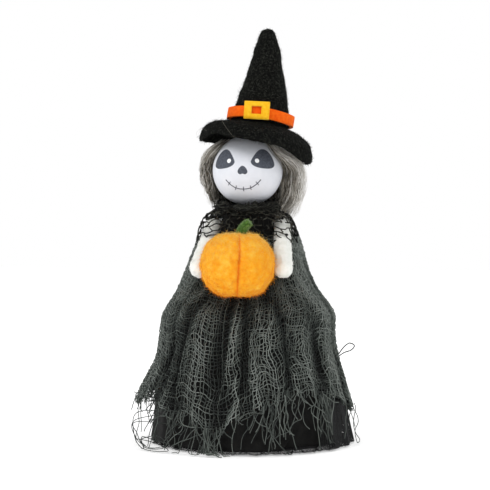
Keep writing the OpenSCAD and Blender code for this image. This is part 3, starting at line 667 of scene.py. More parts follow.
def build_hat():
    felt = MATERIALS["black_felt"]

    def droop(points):
        angle = np.arctan2(points[..., 1], points[..., 0])
        r = np.hypot(points[..., 0], points[..., 1])
        far, lip = ease(r, 20, BRIM_R), ease(r, 33, BRIM_R)
        side = np.cos(angle)
        points = points.copy()
        points[..., 2] += far * (-0.5 * ease(side, 0.2, 1.0) + 6.0 * far * ease(-side, 0.3, 1.0)
                                 + 0.9 * np.sin(3 * angle + 0.7) + 0.6 * np.sin(5 * angle))
        under = ease(np.arange(len(points)), 33, 42)[:, None]
        points[..., 2] -= (1.5 + 5.0 * under) * lip * ease(np.abs(side), 0.55, 1.0)
        points[..., :2] *= (1 + far * 0.02 * np.sin(4 * angle + 2))[..., None]
        return in_hat(points + wobble3(points, 7, 60) * 0.35)

    def lean(points):
        z = points[..., 2:3]
        points = points + np.array([1.0, 0.0, 0.0]) * (1.4 * np.sin(np.clip(z / HAT_H, 0, 1) * math.pi))
        return in_hat(points + wobble3(points, 9, 61) * 0.5, CONE_LEAN)

    profile = np.concatenate([spline(BRIM_TOP, 40), spline(BRIM_UNDER, 40)])
    brim = put(lathe("hat_brim_felt", profile, 200, felt, droop), "figure", "hat_brim", slot="black_felt")
    profile = np.concatenate([spline(CONE_OUT, 70), spline(CONE_IN, 40)])
    cone = put(lathe("hat_cone_felt", profile, 144, felt, lean), "figure", "hat_cone", slot="black_felt")

    def outward(p, n):
        return ((p - HAT_AT) * n).sum(-1) > 0

    fuzz("hat_cone_fuzz", cone, 12000, 1.9, 0.085, MATERIALS["black_fibre"], "figure", seed=62, keep=outward)
    fuzz("hat_brim_fuzz", brim, 12000, 1.8, 0.085, MATERIALS["black_fibre"], "figure", seed=64)

    def band_shape(points):
        angle = np.arctan2(points[..., 1], points[..., 0])
        points = points.copy()
        points[..., 2] += 0.9 * np.cos(angle + 0.5) * 0.6 + 0.25 * np.sin(3 * angle)
        points[..., :2] *= (1 + 0.012 * np.sin(2 * angle + 1))[..., None]
        return in_hat(points)

    low, high, inner = 7.3, 14.4, BAND_R - 2.3
    ring = [(inner, low + 0.3), (inner + 0.3, low), (BAND_R - 0.35, low), (BAND_R, low + 0.35),
            (BAND_R, high - 0.35), (BAND_R - 0.35, high), (inner + 0.3, high), (inner, high - 0.3)]
    closed_ring = spline(ring, 48, closed=True)
    put(lathe("hat_band_felt", closed_ring, 160, MATERIALS["orange_felt"], band_shape), "figure", "hat_band", slot="orange_felt")
    build_buckle()


def rounded_box(bm_size, inset=0.35):
    bm = bmesh.new()
    bmesh.ops.create_cube(bm, size=1.0)
    for v in bm.verts:
        v.co.x *= bm_size[0]
        v.co.y *= bm_size[1]
        v.co.z *= bm_size[2]
    bmesh.ops.bevel(bm, geom=list(bm.edges), offset=inset, segments=3, affect="EDGES", profile=0.6)
    return bm


def build_buckle():
    """A flat felt frame with a square window."""
    w, h, t = 18.2, 12.9, 2.2
    win_w, win_h = 7.0, 5.6
    outer = rounded_ring(w, h, 0.5)
    inner = rounded_ring(win_w, win_h, 0.3)
    layers = [(outer, -t / 2 + 0.3, 0), (outer * 0.985, -t / 2, 0), (inner * 1.06, -t / 2, 0), (inner, -t / 2 + 0.3, 0),
              (inner, t / 2 - 0.3, 0), (inner * 1.06, t / 2, 0), (outer * 0.985, t / 2, 0), (outer, t / 2 - 0.3, 0)]
    middle = np.array([0.0, -(BAND_R + 1.4), 12.2])
    points = np.array([np.stack([ring[:, 0], np.full(len(ring), y), ring[:, 1]], -1) for ring, y, _ in layers])
    points = points + middle
    points[..., 1] += 0.012 * points[..., 0] ** 2
    tilt = math.radians(-5.5)
    x, z = points[..., 0].copy(), points[..., 2] - middle[2]
    points[..., 0] = x * math.cos(tilt) + z * math.sin(tilt)
    points[..., 2] = middle[2] + z * math.cos(tilt) - x * math.sin(tilt)
    points = in_hat(points + wobble3(points, 5, 66) * 0.12)
    o = clean(add_mesh("hat_buckle_felt", points, [grid_faces(len(layers), len(outer), wrap_rows=True)], MATERIALS["yellow_felt"]))
    put(o, "figure", "hat_buckle", slot="yellow_felt")


def rounded_ring(width, height, corner, per_side=14):
    """Points round a rounded rectangle, the same number whatever its size."""
    out = []
    for sx, sz, start in ((1, -1, -90), (1, 1, 0), (-1, 1, 90), (-1, -1, 180)):
        for k in range(per_side):
            a = math.radians(start + 90 * k / (per_side - 1))
            out.append((sx * (width / 2 - corner) + corner * math.cos(a), sz * (height / 2 - corner) + corner * math.sin(a)))
    return np.array(out)


# ---------- pumpkin ----------

CREASES = [(-79, 1.0), (-4, 0.55), (92, 0.6), (178, 0.7)]


def build_pumpkin():
    lat = np.radians(np.linspace(-90, 90, 90))
    r = PUMPKIN_R * (0.05 + 0.95 * np.cos(lat) ** 0.93) - PUMPKIN_R * 0.05 * np.abs(np.sin(lat)) ** 6
    z = PUMPKIN_HALF_H * np.sin(lat) - 3.2 * np.sign(lat) * np.abs(np.sin(lat)) ** 14
    depth = {}

    def lobes(points):
        angle = np.arctan2(points[..., 1], points[..., 0])
        flat = np.hypot(points[..., 0], points[..., 1])
        cut = np.zeros(flat.shape)
        for at, strength in CREASES:
            off = (angle - math.radians(at) + math.pi) % (2 * math.pi) - math.pi
            off = off - 0.0028 * points[..., 2]
            cut += strength * (0.75 * np.exp(-(off / 0.045) ** 2) + 0.6 * np.exp(-(off / 0.22) ** 2))
        depth["cut"] = np.clip(cut, 0, 1.4)
        scale = 1 - 0.085 * cut * ease(flat, 2, 14)
        out = points.copy()
        out[..., :2] *= scale[..., None]
        out = out + wobble3(out, 6, 70) * 0.55 + wobble3(out, 2.6, 71) * 0.2
        return out + PUMPKIN_AT

    profile = np.stack([np.maximum(r, 0), z], -1)
    profile[0, 0] = profile[-1, 0] = 0
    o = lathe("pumpkin_felt", profile, 240, MATERIALS["pumpkin_felt"], lobes, closed=False)
    paint_crease_shade(o)
    put(o, "figure", "pumpkin", slot="pumpkin_wool")
    fuzz("pumpkin_fuzz", o, 17000, 2.3, 0.065, MATERIALS["pumpkin_fibre"], "figure", lift=0.3, seed=72)
    build_stem()


def paint_crease_shade(o):
    """Stores how near each point lies to the line of one of the creases; the colour is darkened by it: painted shade in
    the creases.
    """
    co = np.zeros(len(o.data.vertices) * 3)
    o.data.vertices.foreach_get("co", co)
    p = co.reshape(-1, 3) / MM - PUMPKIN_AT
    angle = np.arctan2(p[:, 1], p[:, 0])
    value = np.zeros(len(p))
    for at, strength in CREASES:
        off = (angle - math.radians(at) + math.pi) % (2 * math.pi) - math.pi - 0.0028 * p[:, 2]
        value += strength * (0.85 * np.exp(-(off / 0.03) ** 2) + 0.15 * np.exp(-(off / 0.13) ** 2))
    layer = o.data.attributes.new("crease_shade", "FLOAT", "POINT")
    layer.data.foreach_set("value", np.clip(value, 0, 1).astype(np.float32))


def solid_along(name, path, radii, sides, material, seed, rough=0.3):
    """A closed round solid along a path, with a radius at each point; the ends come to a point."""
    points, quads, _ = tube_arrays(np.asarray(path)[None], np.asarray(radii)[None], sides)
    points = points + wobble3(points, 4, seed) * rough
    n = len(path)
    start = list(range(sides))
    end = [(n - 1) * sides + k for k in range(sides)]
    return clean(add_mesh(name, points, [quads, np.array([start[::-1]]), np.array([end])], material))


def build_stem():
    base = PUMPKIN_AT + np.array([2.6, -1.5, 19.5])
    path = spline([base, base + [0.6, 0.2, 4], base + [3.2, 0.0, 7.6], base + [6.6, -0.2, 10.8]], 30)
    t = np.linspace(0, 1, 30)
    radii = 3.5 * np.sqrt(np.clip(1 - ((t - 0.5) / 0.5) ** 10, 0.02, 1)) * (1 + 0.12 * np.sin(5 * t))
    o = put(solid_along("pumpkin_stem_felt", path, radii, 24, MATERIALS["green_felt"], 74), "figure", "pumpkin_stem", slot="green_felt")
    fuzz("pumpkin_stem_fuzz", o, 900, 1.2, 0.07, MATERIALS["green_fibre"], "figure", seed=75)


# ---------- arms and bodice ----------

def build_arm(name, side, node):
    flip = np.array([side, 1.0, 1.0])
    a, b = ARM_TOP * flip, ARM_END * flip
    length = np.linalg.norm(b - a)
    d = (b - a) / length
    top_r, end_r = ARM_R
    s = np.concatenate([-top_r * np.cos(np.linspace(0, math.pi / 2, 14)), np.linspace(0, length, 30)[1:-1],
                        length + end_r * np.sin(np.linspace(0, math.pi / 2, 16))])
    r = top_r + (end_r - top_r) * np.clip(s / length, 0, 1)
    r = np.where(s < 0, np.sqrt(np.maximum(top_r ** 2 - s ** 2, 0.01)), r)
    r = np.where(s > length, np.sqrt(np.maximum(end_r ** 2 - (s - length) ** 2, 0.01)), r)
    path = a + d * s[:, None]
    o = solid_along(name, path, r, 48, MATERIALS["cream_felt"], 80, 0.35)
    put(o, "figure", node, slot="cream_felt")
    fuzz(name + "_fuzz", o, 3500, 1.6, 0.05, MATERIALS["cream_fibre"], "figure", lift=0.25, seed=81)


def build_bodice():
    def gather(points):
        angle = np.arctan2(points[..., 1], points[..., 0])
        flat = points.copy()
        flat[..., :2] *= (1 + 0.018 * np.sin(17 * angle + points[..., 2] / 9) + 0.012 * np.sin(29 * angle))[..., None]
        return flat + wobble3(points, 12, 84) * 0.4
    profile = [(20.0, 116), (19.9, 130), (19.5, 150), (18.4, 164), (17.6, 168.6), (16.4, 168.6), (17.0, 163), (18.0, 150), (18.4, 130), (18.5, 116)]
    o = lathe("bodice_cloth", spline(profile, 90, closed=True), 160, MATERIALS["black_cloth"], gather)
    put(o, "figure", "bodice", slot="black_satin")


# ---------- neck net and shoulder net ----------

def build_ruff():
    def crumple(points):
        angle = np.arctan2(points[..., 1], points[..., 0])
        out = points.copy()
        out[..., :2] *= (1 + 0.05 * np.sin(13 * angle) + 0.04 * np.sin(21 * angle + 1))[..., None]
        out[..., 2] += 0.7 * np.sin(9 * angle) + 0.5 * np.sin(16 * angle + 2) - 2.0 * ease(-np.sin(angle), 0.3, 0.95)
        return out + wobble3(points, 4, 90) * 0.7
    profile = [(8.5, 168.2), (18, 167.6), (20.4, 168.8), (21.2, 170.8), (19.6, 172.2), (15.2, 171.6), (11, 170.8), (8.5, 170.2)]
    o = lathe("neck_ruff_core", spline(profile, 60, closed=True), 160, MATERIALS["black_cloth"], crumple)
    put(o, "figure", "neck_ruff", slot="net")
    g = rng(91)
    count, n = 300, 22
    t = np.linspace(0, 1, n)[None, :]
    start, span = g.uniform(0, 2 * math.pi, (count, 1)), g.uniform(0.25, 1.1, (count, 1))
    a = start + span * t
    lift = g.uniform(0, 1, (count, 1))
    r = 19.0 + 4.4 * np.sin(lift * math.pi) + g.normal(0, 0.5, (count, 1))
    z = 166.2 + 7.0 * lift + 2.4 * np.abs(np.cos(a)) - 1.6
    p = round_z(r, a, z)
    p += wobble3(p, 5, 92) * 1.3 + np.cumsum(g.normal(0, 0.32, (count, n, 3)), axis=1) * 0.45
    up_count = 130
    s = np.linspace(0, 1, 12)[None, :]
    b = g.uniform(0, 2 * math.pi, (up_count, 1)) + g.normal(0, 0.18, (up_count, 1)) * s
    front = ease(-np.sin(b), 0.1, 0.9)
    rise = g.uniform(1.5, 5.5, (up_count, 1)) + 3.0 * (1 - front)
    q = round_z(20.3 + 2.2 * np.sin(s * 2.4) + 0.8 * s * g.normal(0, 1, (up_count, 1)), b, 168.5 + rise * s)
    q += wobble3(q, 4, 93) * 0.8
    strands("neck_net", [(p, 0.26), (q, 0.22)], MATERIALS["net"], "figure", seed=94)


def shoulder_surface(angle, share):
    """The net's surface from the neck (share 0) to below the shoulders (share 1)."""
    side = spline([(20.6, 170.2), (25.5, 167.4), (31.2, 163.4), (34.6, 157), (36.4, 150), (38.0, 142), (40.2, 134)], 60)
    front = spline([(20.6, 170.2), (20.9, 168), (20.9, 165), (20.9, 160), (20.8, 154), (20.8, 148), (20.9, 142)], 60)
    k = np.clip(share, 0, 1) * 59
    at = lambda curve, c: np.interp(k, np.arange(60), curve[:, c])
    off = np.abs((np.degrees(angle) + 90 + 180) % 360 - 180)
    w = ease(off, 38, 66)
    r = at(front, 0) * (1 - w) + at(side, 0) * w
    z = at(front, 1) * (1 - w) + at(side, 1) * w
    return round_z(r, angle, z)


def build_shoulder_net():
    rows, cols = 12, 66
    g = rng(100)
    i, j = np.meshgrid(np.arange(rows), np.arange(cols), indexing="ij")
    zig = 0.17 * np.where((i + j) % 2 == 0, 1, -1)
    share = (i + zig + g.normal(0, 0.16, i.shape)) / (rows - 1)
    angle = 2 * math.pi * (j + 0.25 * np.sin(i * 1.7) + g.normal(0, 0.22, j.shape)) / cols
    ends = []
    for a in range(rows):
        for b in range(cols):
            if g.uniform() > 0.05:
                ends.append((a, b, a, b + 1))
            if a + 1 < rows and (a + b) % 2 == 0 and g.uniform() > 0.12:
                ends.append((a, b, a + 1, b))
    t = np.linspace(0, 1, 6)
    paths = []
    for a, b, c, d in ends:
        turn = 2 * math.pi if d >= cols else 0.0
        s0, s1 = share[a, b], share[c, d % cols]
        a0, a1 = angle[a, b], angle[c, d % cols] + turn
        bow = g.normal(0, 0.012) * np.sin(t * math.pi)
        paths.append(shoulder_surface(a0 + (a1 - a0) * t + bow * 2, s0 + (s1 - s0) * t + bow))
    paths = np.array(paths)
    low = paths[:, :, 2].mean(1)
    off = np.abs((np.degrees(np.arctan2(paths[:, 3, 1], paths[:, 3, 0])) + 90 + 180) % 360 - 180)
    keep = (low > 145.5) | (off > 82)
    paths = paths[keep] + wobble3(paths[keep], 5, 101) * 0.5
    strands("shoulder_net", [(paths, 0.48)], MATERIALS["net"], "figure", sides=4, seed=102)


# ---------- gauze dress ----------

DRESS_SIDE = [(36.5, 149), (38.6, 142), (41.5, 133), (44.2, 123), (50.3, 109), (56.3, 100), (60.6, 92),
              (62.6, 80), (64.2, 68), (66.6, 58), (70.5, 48), (75.5, 37), (80.5, 28), (83.4, 18), (84.3, 9)]
DRESS_FRONT = [(21.2, 149), (21.2, 136), (21.4, 120), (24.5, 111), (33.5, 104), (45.0, 95), (54.5, 80),
               (62.5, 62), (68.5, 46), (73.0, 33), (76.0, 22), (78.0, 9)]
ROWS, COLS, FINE = 60, 300, 1440
FOLDS = 15
CLOTH_SCALE = 0.01            # one simulated unit is 100 mm, which suits the cloth solver


def dress_radius(off, side, front, depth_share=1.0):
    """Radius and height of the gathered dress; off is the angle from the front in degrees, side and front its two profiles."""
    z = side[:, 1:]
    middle = np.interp(-z, [-158, -136, -124, -112, -90], [80, 77, 62, 48, 42])
    half = np.interp(-z, [-158, -124, -112, -90], [4, 8, 18, 34])
    w = ease(np.abs(off), middle - half, middle + half)
    r = front[:, :1] * (1 - w) + side[:, :1] * w
    height = front[:, 1:] * (1 - w) + side[:, 1:] * w
    g = rng(110)
    at = (np.arange(FOLDS) + g.uniform(-0.3, 0.3, FOLDS)) * 360 / FOLDS - 180
    valley = np.zeros(r.shape)
    for k in range(FOLDS):
        centre = at[k] + g.normal(0, 5) * (120 - z) / 90 + 1.5 * np.sin(z / 15 + k)
        away = (off - centre + 180) % 360 - 180
        fades = ease(-z, -g.uniform(70, 190), -g.uniform(40, 62))
        valley += (g.uniform(0.55, 1.1) * (0.25 + 0.75 * fades)) * np.exp(-(away / g.uniform(3.0, 6.5)) ** 2)
    depth = np.minimum(np.interp(-z, [-158, -120, -100, -60, -9], [2.5, 6.0, 8.5, 9.5, 8.0]), 0.16 * (r - 12))
    ripple = 0.5 * np.sin(np.radians(31 * off + 2 * z)) + 0.4 * np.sin(np.radians(47 * off - z))
    bulge = 3.0 * np.exp(-((off - 75) / 22) ** 2 - ((z - 95) / 11) ** 2)
    return r + bulge + depth_share * depth * (0.12 + 0.06 * ripple - np.minimum(valley, 1.15)), height


def dress_profiles(rows):
    return even(spline(DRESS_SIDE, 240), rows), even(spline(DRESS_FRONT, 240), rows)


def dress_start():
    """The gathered dress before it drapes, as a (rows, cols, 3) grid evenly spaced along the folded cloth."""
    side, front = dress_profiles(ROWS)
    off = np.linspace(-180, 180, FINE, endpoint=False)[None, :]
    r, height = dress_radius(off, side, front)
    points = round_z(r, np.radians(off - 90), height)
    return np.stack([even(np.concatenate([row, row[:1]]), COLS + 1)[:-1] for row in points])


def collider(name, points, faces):
    o = add_mesh(name, np.asarray(points) * (CLOTH_SCALE / MM), faces, MATERIALS["black_cloth"])
    clean(o, 1.0)
    o.modifiers.new("collision", "COLLISION")
    o.collision.thickness_outer = 0.02
    o.collision.cloth_friction = 12
    return o


def drape(grid):
    """Lets the gauze settle under a light gravity over the body, the arms, the pumpkin and the underskirt."""
    rows, cols, _ = grid.shape
    o = add_mesh("drape_cloth", grid * (CLOTH_SCALE / MM), [grid_faces(rows, cols)], MATERIALS["gauze"])
    held = o.vertex_groups.new(name="held")
    share = np.linspace(0, 1, rows)
    weight = np.where(share < 0.04, 1.0, 0.12 + 0.12 * (1 - share))
    for row in range(rows):
        held.add(list(range(row * cols, (row + 1) * cols)), float(weight[row]), "REPLACE")
    body = underskirt_outer(90, 22)
    axis = body * [0, 0, 1]
    body = np.concatenate([axis[:1], body, axis[-1:]])
    solids = [collider("drape_skirt", body, [grid_faces(len(body), 90)])]
    ball = np.radians(np.linspace(-90, 90, 17))[:, None]
    around = np.linspace(0, 2 * math.pi, 32, endpoint=False)[None, :]
    sphere = np.stack(np.broadcast_arrays(np.cos(ball) * np.cos(around), np.cos(ball) * np.sin(around), np.sin(ball)), -1)
    solids.append(collider("drape_pumpkin", sphere * [PUMPKIN_R, PUMPKIN_R, PUMPKIN_HALF_H] + PUMPKIN_AT, [grid_faces(17, 32)]))
    for side in (1, -1):
        flip = np.array([side, 1.0, 1.0])
        line = np.linspace(ARM_TOP * flip, ARM_END * flip, 9)[None]
        points, quads, caps = tube_arrays(line, np.linspace(*ARM_R, 9)[None], 16)
        solids.append(collider(f"drape_arm_{side}", points, [quads, caps]))
    cloth = o.modifiers.new("cloth", "CLOTH")
    s = cloth.settings
    s.quality = 5
    s.mass = 0.15
    s.tension_stiffness = s.compression_stiffness = 12
    s.shear_stiffness = 4
    s.bending_stiffness = 0.6
    s.vertex_group_mass = "held"
    s.pin_stiffness = 0.35
    s.effector_weights.gravity = 0.5
    cloth.collision_settings.distance_min = 0.012
    cloth.collision_settings.use_self_collision = False
    cloth.point_cache.frame_start, cloth.point_cache.frame_end = 1, 24
    scene = bpy.context.scene
    for f in range(1, 25):
        scene.frame_set(f)
    settled = o.evaluated_get(bpy.context.evaluated_depsgraph_get()).data
    co = np.zeros(len(settled.vertices) * 3)
    settled.vertices.foreach_get("co", co)
    result = co.reshape(rows, cols, 3) / CLOTH_SCALE
    scene.frame_set(1)
    for solid in solids + [o]:
        bpy.data.objects.remove(solid, do_unlink=True)
    print("drape moved by", float(np.abs(result - grid).mean()), "mm on average")
    return result


def on_grid(grid, u, v):
    """Points of the draped cloth; u runs once round, v from the top to the hem."""
    rows, cols, _ = grid.shape
    x, y = (u % 1.0) * cols, np.clip(v, 0, 1) * (rows - 1)
    i = np.minimum(y.astype(int), rows - 2)
    j = np.floor(x).astype(int) % cols
    fx, fy = (x - np.floor(x))[..., None], (y - i)[..., None]
    k = (j + 1) % cols
    top = grid[i, j] * (1 - fx) + grid[i, k] * fx
    low = grid[i + 1, j] * (1 - fx) + grid[i + 1, k] * fx
    return top * (1 - fy) + low * fy


def cloth_normals(grid):
    du = np.roll(grid, -1, 1) - np.roll(grid, 1, 1)
    dv = np.gradient(grid, axis=0)
    return unit(np.cross(dv, du))


def ride_dress(o):
    """Bakes the piece's placement into its points; the piece rides on no body."""
    o.data.transform(o.matrix_world)
    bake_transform(o)


def hem_share(grid):
    """How far down each column of the cloth the hem lies: it hangs lower at the figure's right front."""
    last = grid[-1]
    off = np.degrees(np.arctan2(last[:, 1], last[:, 0])) + 90
    off = (off + 180) % 360 - 180
    hem = np.interp(off, *zip(*HEM)) + 1.5 * np.sin(np.radians(off * 11)) + 1.2 * np.sin(np.radians(off * 23 + 40))
    share = np.linspace(0, 1, ROWS)
    return np.array([np.interp(-hem[c], -grid[:, c, 2], share) for c in range(grid.shape[1])])


def around(values, u):
    """A value for each column of the cloth, looked up once round at u."""
    n = len(values)
    x = (u % 1.0) * n
    i = np.floor(x).astype(int) % n
    f = x - np.floor(x)
    return values[i] * (1 - f) + values[(i + 1) % n] * f


def fold_shade(grid):
    """How far each point of the cloth stands out of (1) or into (-1) the folds round it; by it the threads are painted
    lighter on the ridges and darker in the valleys: painted light and shade.
    """
    r = np.hypot(grid[..., 0], grid[..., 1])
    mean = sum(np.roll(r, k, 1) for k in range(-14, 15)) / 29
    usual = np.linspace(1.2, 3.0, len(r))[:, None]
    return np.clip((r - mean) / usual, -1, 1)[..., None]


LONG_SHARE = 0.4               # share of the warp threads with a long loose end
BUNCH = 5                     # loose ends that lie together


def gauze_layer(name, grid, warps, wefts, radius, seed, out=0.0, slack=0.3, span=(0.0, 1.0), fringe=1.0, hem=None, layer_shade=0.0):
    """Warp and weft threads over the draped cloth, crossing over and under, with frayed ends at the hem, and painted
    light and shade along the folds.
    """
    g = rng(seed)
    normals, shade = cloth_normals(grid), fold_shade(grid)
    hem = hem_share(grid) if hem is None else hem
    n = 150
    v = np.linspace(0, 1, n)[None, :]
    start = np.abs(g.normal(0, 0.014, (warps, 1)))
    base = span[0] + (span[1] - span[0]) * (np.arange(warps) + g.normal(0, 0.14, warps))[:, None] / warps
    place = np.concatenate([np.cos(6.283 * base) * 90, np.sin(6.283 * base) * 90], 1)[:, None, :]
    place = np.concatenate([np.repeat(place, n, 1), np.broadcast_to(v[..., None] * 150, (warps, n, 1))], 2)
    u = base + wobble(place, 24, 112) * 0.0030 + wobble(place, 7, seed + 8) * 0.0007
    end = around(hem, base[:, 0])[:, None] * g.uniform(0.975, 1.01, (warps, 1))
    v = np.minimum(start + v * (end - start), 1.0)
    p = on_grid(grid, u, v)
    pitch = 1.0 / wefts
    crimp = np.sin(math.pi * (v / np.maximum(end, 0.01) / pitch + np.arange(warps)[:, None]))
    p = p + unit(on_grid(normals, u, v)) * (out + 0.3 * crimp)[..., None]
    p += wobble3(p, 4.0, seed + 1) * slack + g.normal(0, 0.07, p.shape)
    # each thread's base value; the inner layers take a lower one, painted shade behind the outer layer
    own = 0.52 + layer_shade + g.normal(0, 0.13, (warps, 1))
    # painted light and shade: warp threads lighter where the cloth stands out of its folds, darker in the valleys
    warp_tint_and_shade = np.clip(own + 0.38 * on_grid(shade, u, v)[..., 0], 0, 1)
    low = ease(-p[:, -1, 2], -24, -12)
    hem_off = np.degrees(np.arctan2(p[:, -1, 1], p[:, -1, 0])) + 90
    neat = 1 - 0.6 * ease(hem_off, 18, 30) * (1 - ease(hem_off, 60, 75))
    long_one = g.uniform(0, 1, warps) < LONG_SHARE
    length = (1.2 + 3.0 * np.exp(g.normal(0, 0.85, warps)) * (1 - 0.5 * low) * long_one) * fringe * neat
    ends = frayed(p[:, -1], unit(p[:, -1] - p[:, -6]), length, seed + 2)
    bunch = np.arange(warps) // BUNCH
    middle = np.array([ends[bunch == k].mean(0) for k in range(bunch[-1] + 1)])[bunch]
    ends += (middle - ends) * 0.6 * np.linspace(0, 1, ends.shape[1])[None, :, None]
    m = int(560 * (span[1] - span[0]))
    uu = np.linspace(span[0], span[1], m)[None, :]
    at = (np.arange(wefts) + 0.75 + g.normal(0, 0.08, wefts))[:, None] / (wefts + 0.5)
    lie = np.stack(np.broadcast_arrays(np.cos(6.283 * uu) * 90, np.sin(6.283 * uu) * 90, at * 150), -1)
    vv = at * around(hem, uu) + wobble(lie, 22, 113) * 0.016 + wobble(lie, 6, seed + 3) * 0.0035
    vv = np.clip(vv, 0, 1)
    uu = uu + 0 * vv
    q = on_grid(grid, uu, vv)
    crimp = -np.sin(math.pi * (uu * warps / (span[1] - span[0]) + np.arange(wefts)[:, None]))
    q = q + unit(on_grid(normals, uu, vv)) * (out + 0.3 * crimp)[..., None]
    q += wobble3(q, 4.0, seed + 4) * slack + g.normal(0, 0.07, q.shape)
    own = 0.52 + layer_shade + g.normal(0, 0.13, (wefts, 1))
    # painted light and shade: weft threads lighter where the cloth stands out of its folds, darker in the valleys
    weft_tint_and_shade = np.clip(own + 0.38 * on_grid(shade, uu, vv)[..., 0], 0, 1)
    groups = [(p, radius), (q, radius), (ends, radius * 0.9)]
    tints_and_shades = [warp_tint_and_shade, weft_tint_and_shade, 0.5 + 0 * length]
    return strands(name, groups, MATERIALS["gauze"], None, seed=seed + 5, finish=ride_dress, tints_and_shades=tints_and_shades)


HEM = [(-180, 24), (-150, 28), (-120, 25), (-95, 33), (-78, 33), (-48, 32), (-30, 25), (-22, 23), (-14, 17), (-5, 19), (8, 29),
       (21, 36), (31, 40), (50, 39), (65, 37), (81, 29), (105, 25), (140, 27), (180, 24)]


def trim(paths, share):
    """Each path cut to a share of its length, with the same number of points."""
    n = paths.shape[1]
    x = np.linspace(0, 1, n)[None, :] * share[:, None] * (n - 1)
    i = np.minimum(x.astype(int), n - 2)
    f = (x - i)[..., None]
    rows = np.arange(len(paths))[:, None]
    return paths[rows, i] * (1 - f) + paths[rows, i + 1] * f


def frayed(start, heading, length, seed, n=12):
    """Loose thread ends that leave in a direction, fall and curl, and stay above the floor."""
    g = rng(seed)
    count = len(start)
    t = np.linspace(0, 1, n)[None, :, None]
    side = unit(np.cross(heading, [0, 0, 1.0]) + g.normal(0, 0.5, heading.shape))
    fall = np.array([0.0, 0.0, -1.0])
    p = start[:, None] + length[:, None, None] * (t * (0.8 * heading + 0.35 * fall)[:, None]
        + t ** 2 * (side * g.normal(0, 1.0, (count, 1)))[:, None] + t ** 2 * 0.25 * fall)
    p += np.sin(t * g.uniform(3, 9, (count, 1, 1)) + g.uniform(0, 6, (count, 1, 1))) * side[:, None] * 0.15 * length[:, None, None] * t
    p[..., 2] = np.maximum(p[..., 2], 0.8 + g.uniform(0, 0.8, (count, 1)))
    return p


def back_yoke():
    """The gauze over the shoulder blades, from the neck down to the top of the skirt part."""
    line = even(spline([(20.8, 168.6), (27.5, 165.5), (33.5, 159), (37.4, 150), (39.4, 142)], 60), 20)
    angle = np.radians(np.linspace(-180, 180, COLS, endpoint=False) - 90)[None, :]
    return round_z(line[:, :1] + 0.7 * np.sin(19 * angle) + 0.4 * np.sin(33 * angle), angle, line[:, 1:])


def flare(grid):
    """The hem kicks out at the figure's right."""
    off = (np.degrees(np.arctan2(grid[..., 1], grid[..., 0])) - 185 + 180) % 360 - 180
    push = 7.5 * np.exp(-(off / 32) ** 2) * ease(-grid[..., 2], -65, -28)
    return grid + unit(grid * [1, 1, 0]) * push[..., None]


def build_dress():
    grid = dress_start()
    grid = drape(grid)
    grid = flare(grid)
    pieces = gauze_layer("gauze_dress_threads", grid, 230, 55, 0.35, 120, out=0.5)
    # painted shade: the two inner layers, under the outer one, are given darker threads
    gauze_layer("gauze_dress_right_layer", grid, 90, 48, 0.33, 140, out=-0.9, slack=0.5, span=(0.04, 0.40), fringe=0.7, layer_shade=-0.3)
    gauze_layer("gauze_dress_left_layer", grid, 80, 48, 0.33, 145, out=-0.9, slack=0.5, span=(0.64, 0.96), fringe=0.7, layer_shade=-0.3)
    gauze_layer("gauze_dress_yoke", back_yoke(), 120, 12, 0.36, 148, slack=0.5, span=(-0.21, 0.21), fringe=0.6, hem=np.ones(COLS))
    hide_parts("gauze_dress")
    build_tangles(grid)


COILS = 3
BUNDLES = (24.5, -11, 58)         # where bunches of threads hang, in degrees from the front
LEFT_STRAY = [(65.4, 61.4), (70, 67.8), (74.5, 71), (77.8, 69), (75.2, 65.9), (70, 64), (64.5, 60)]


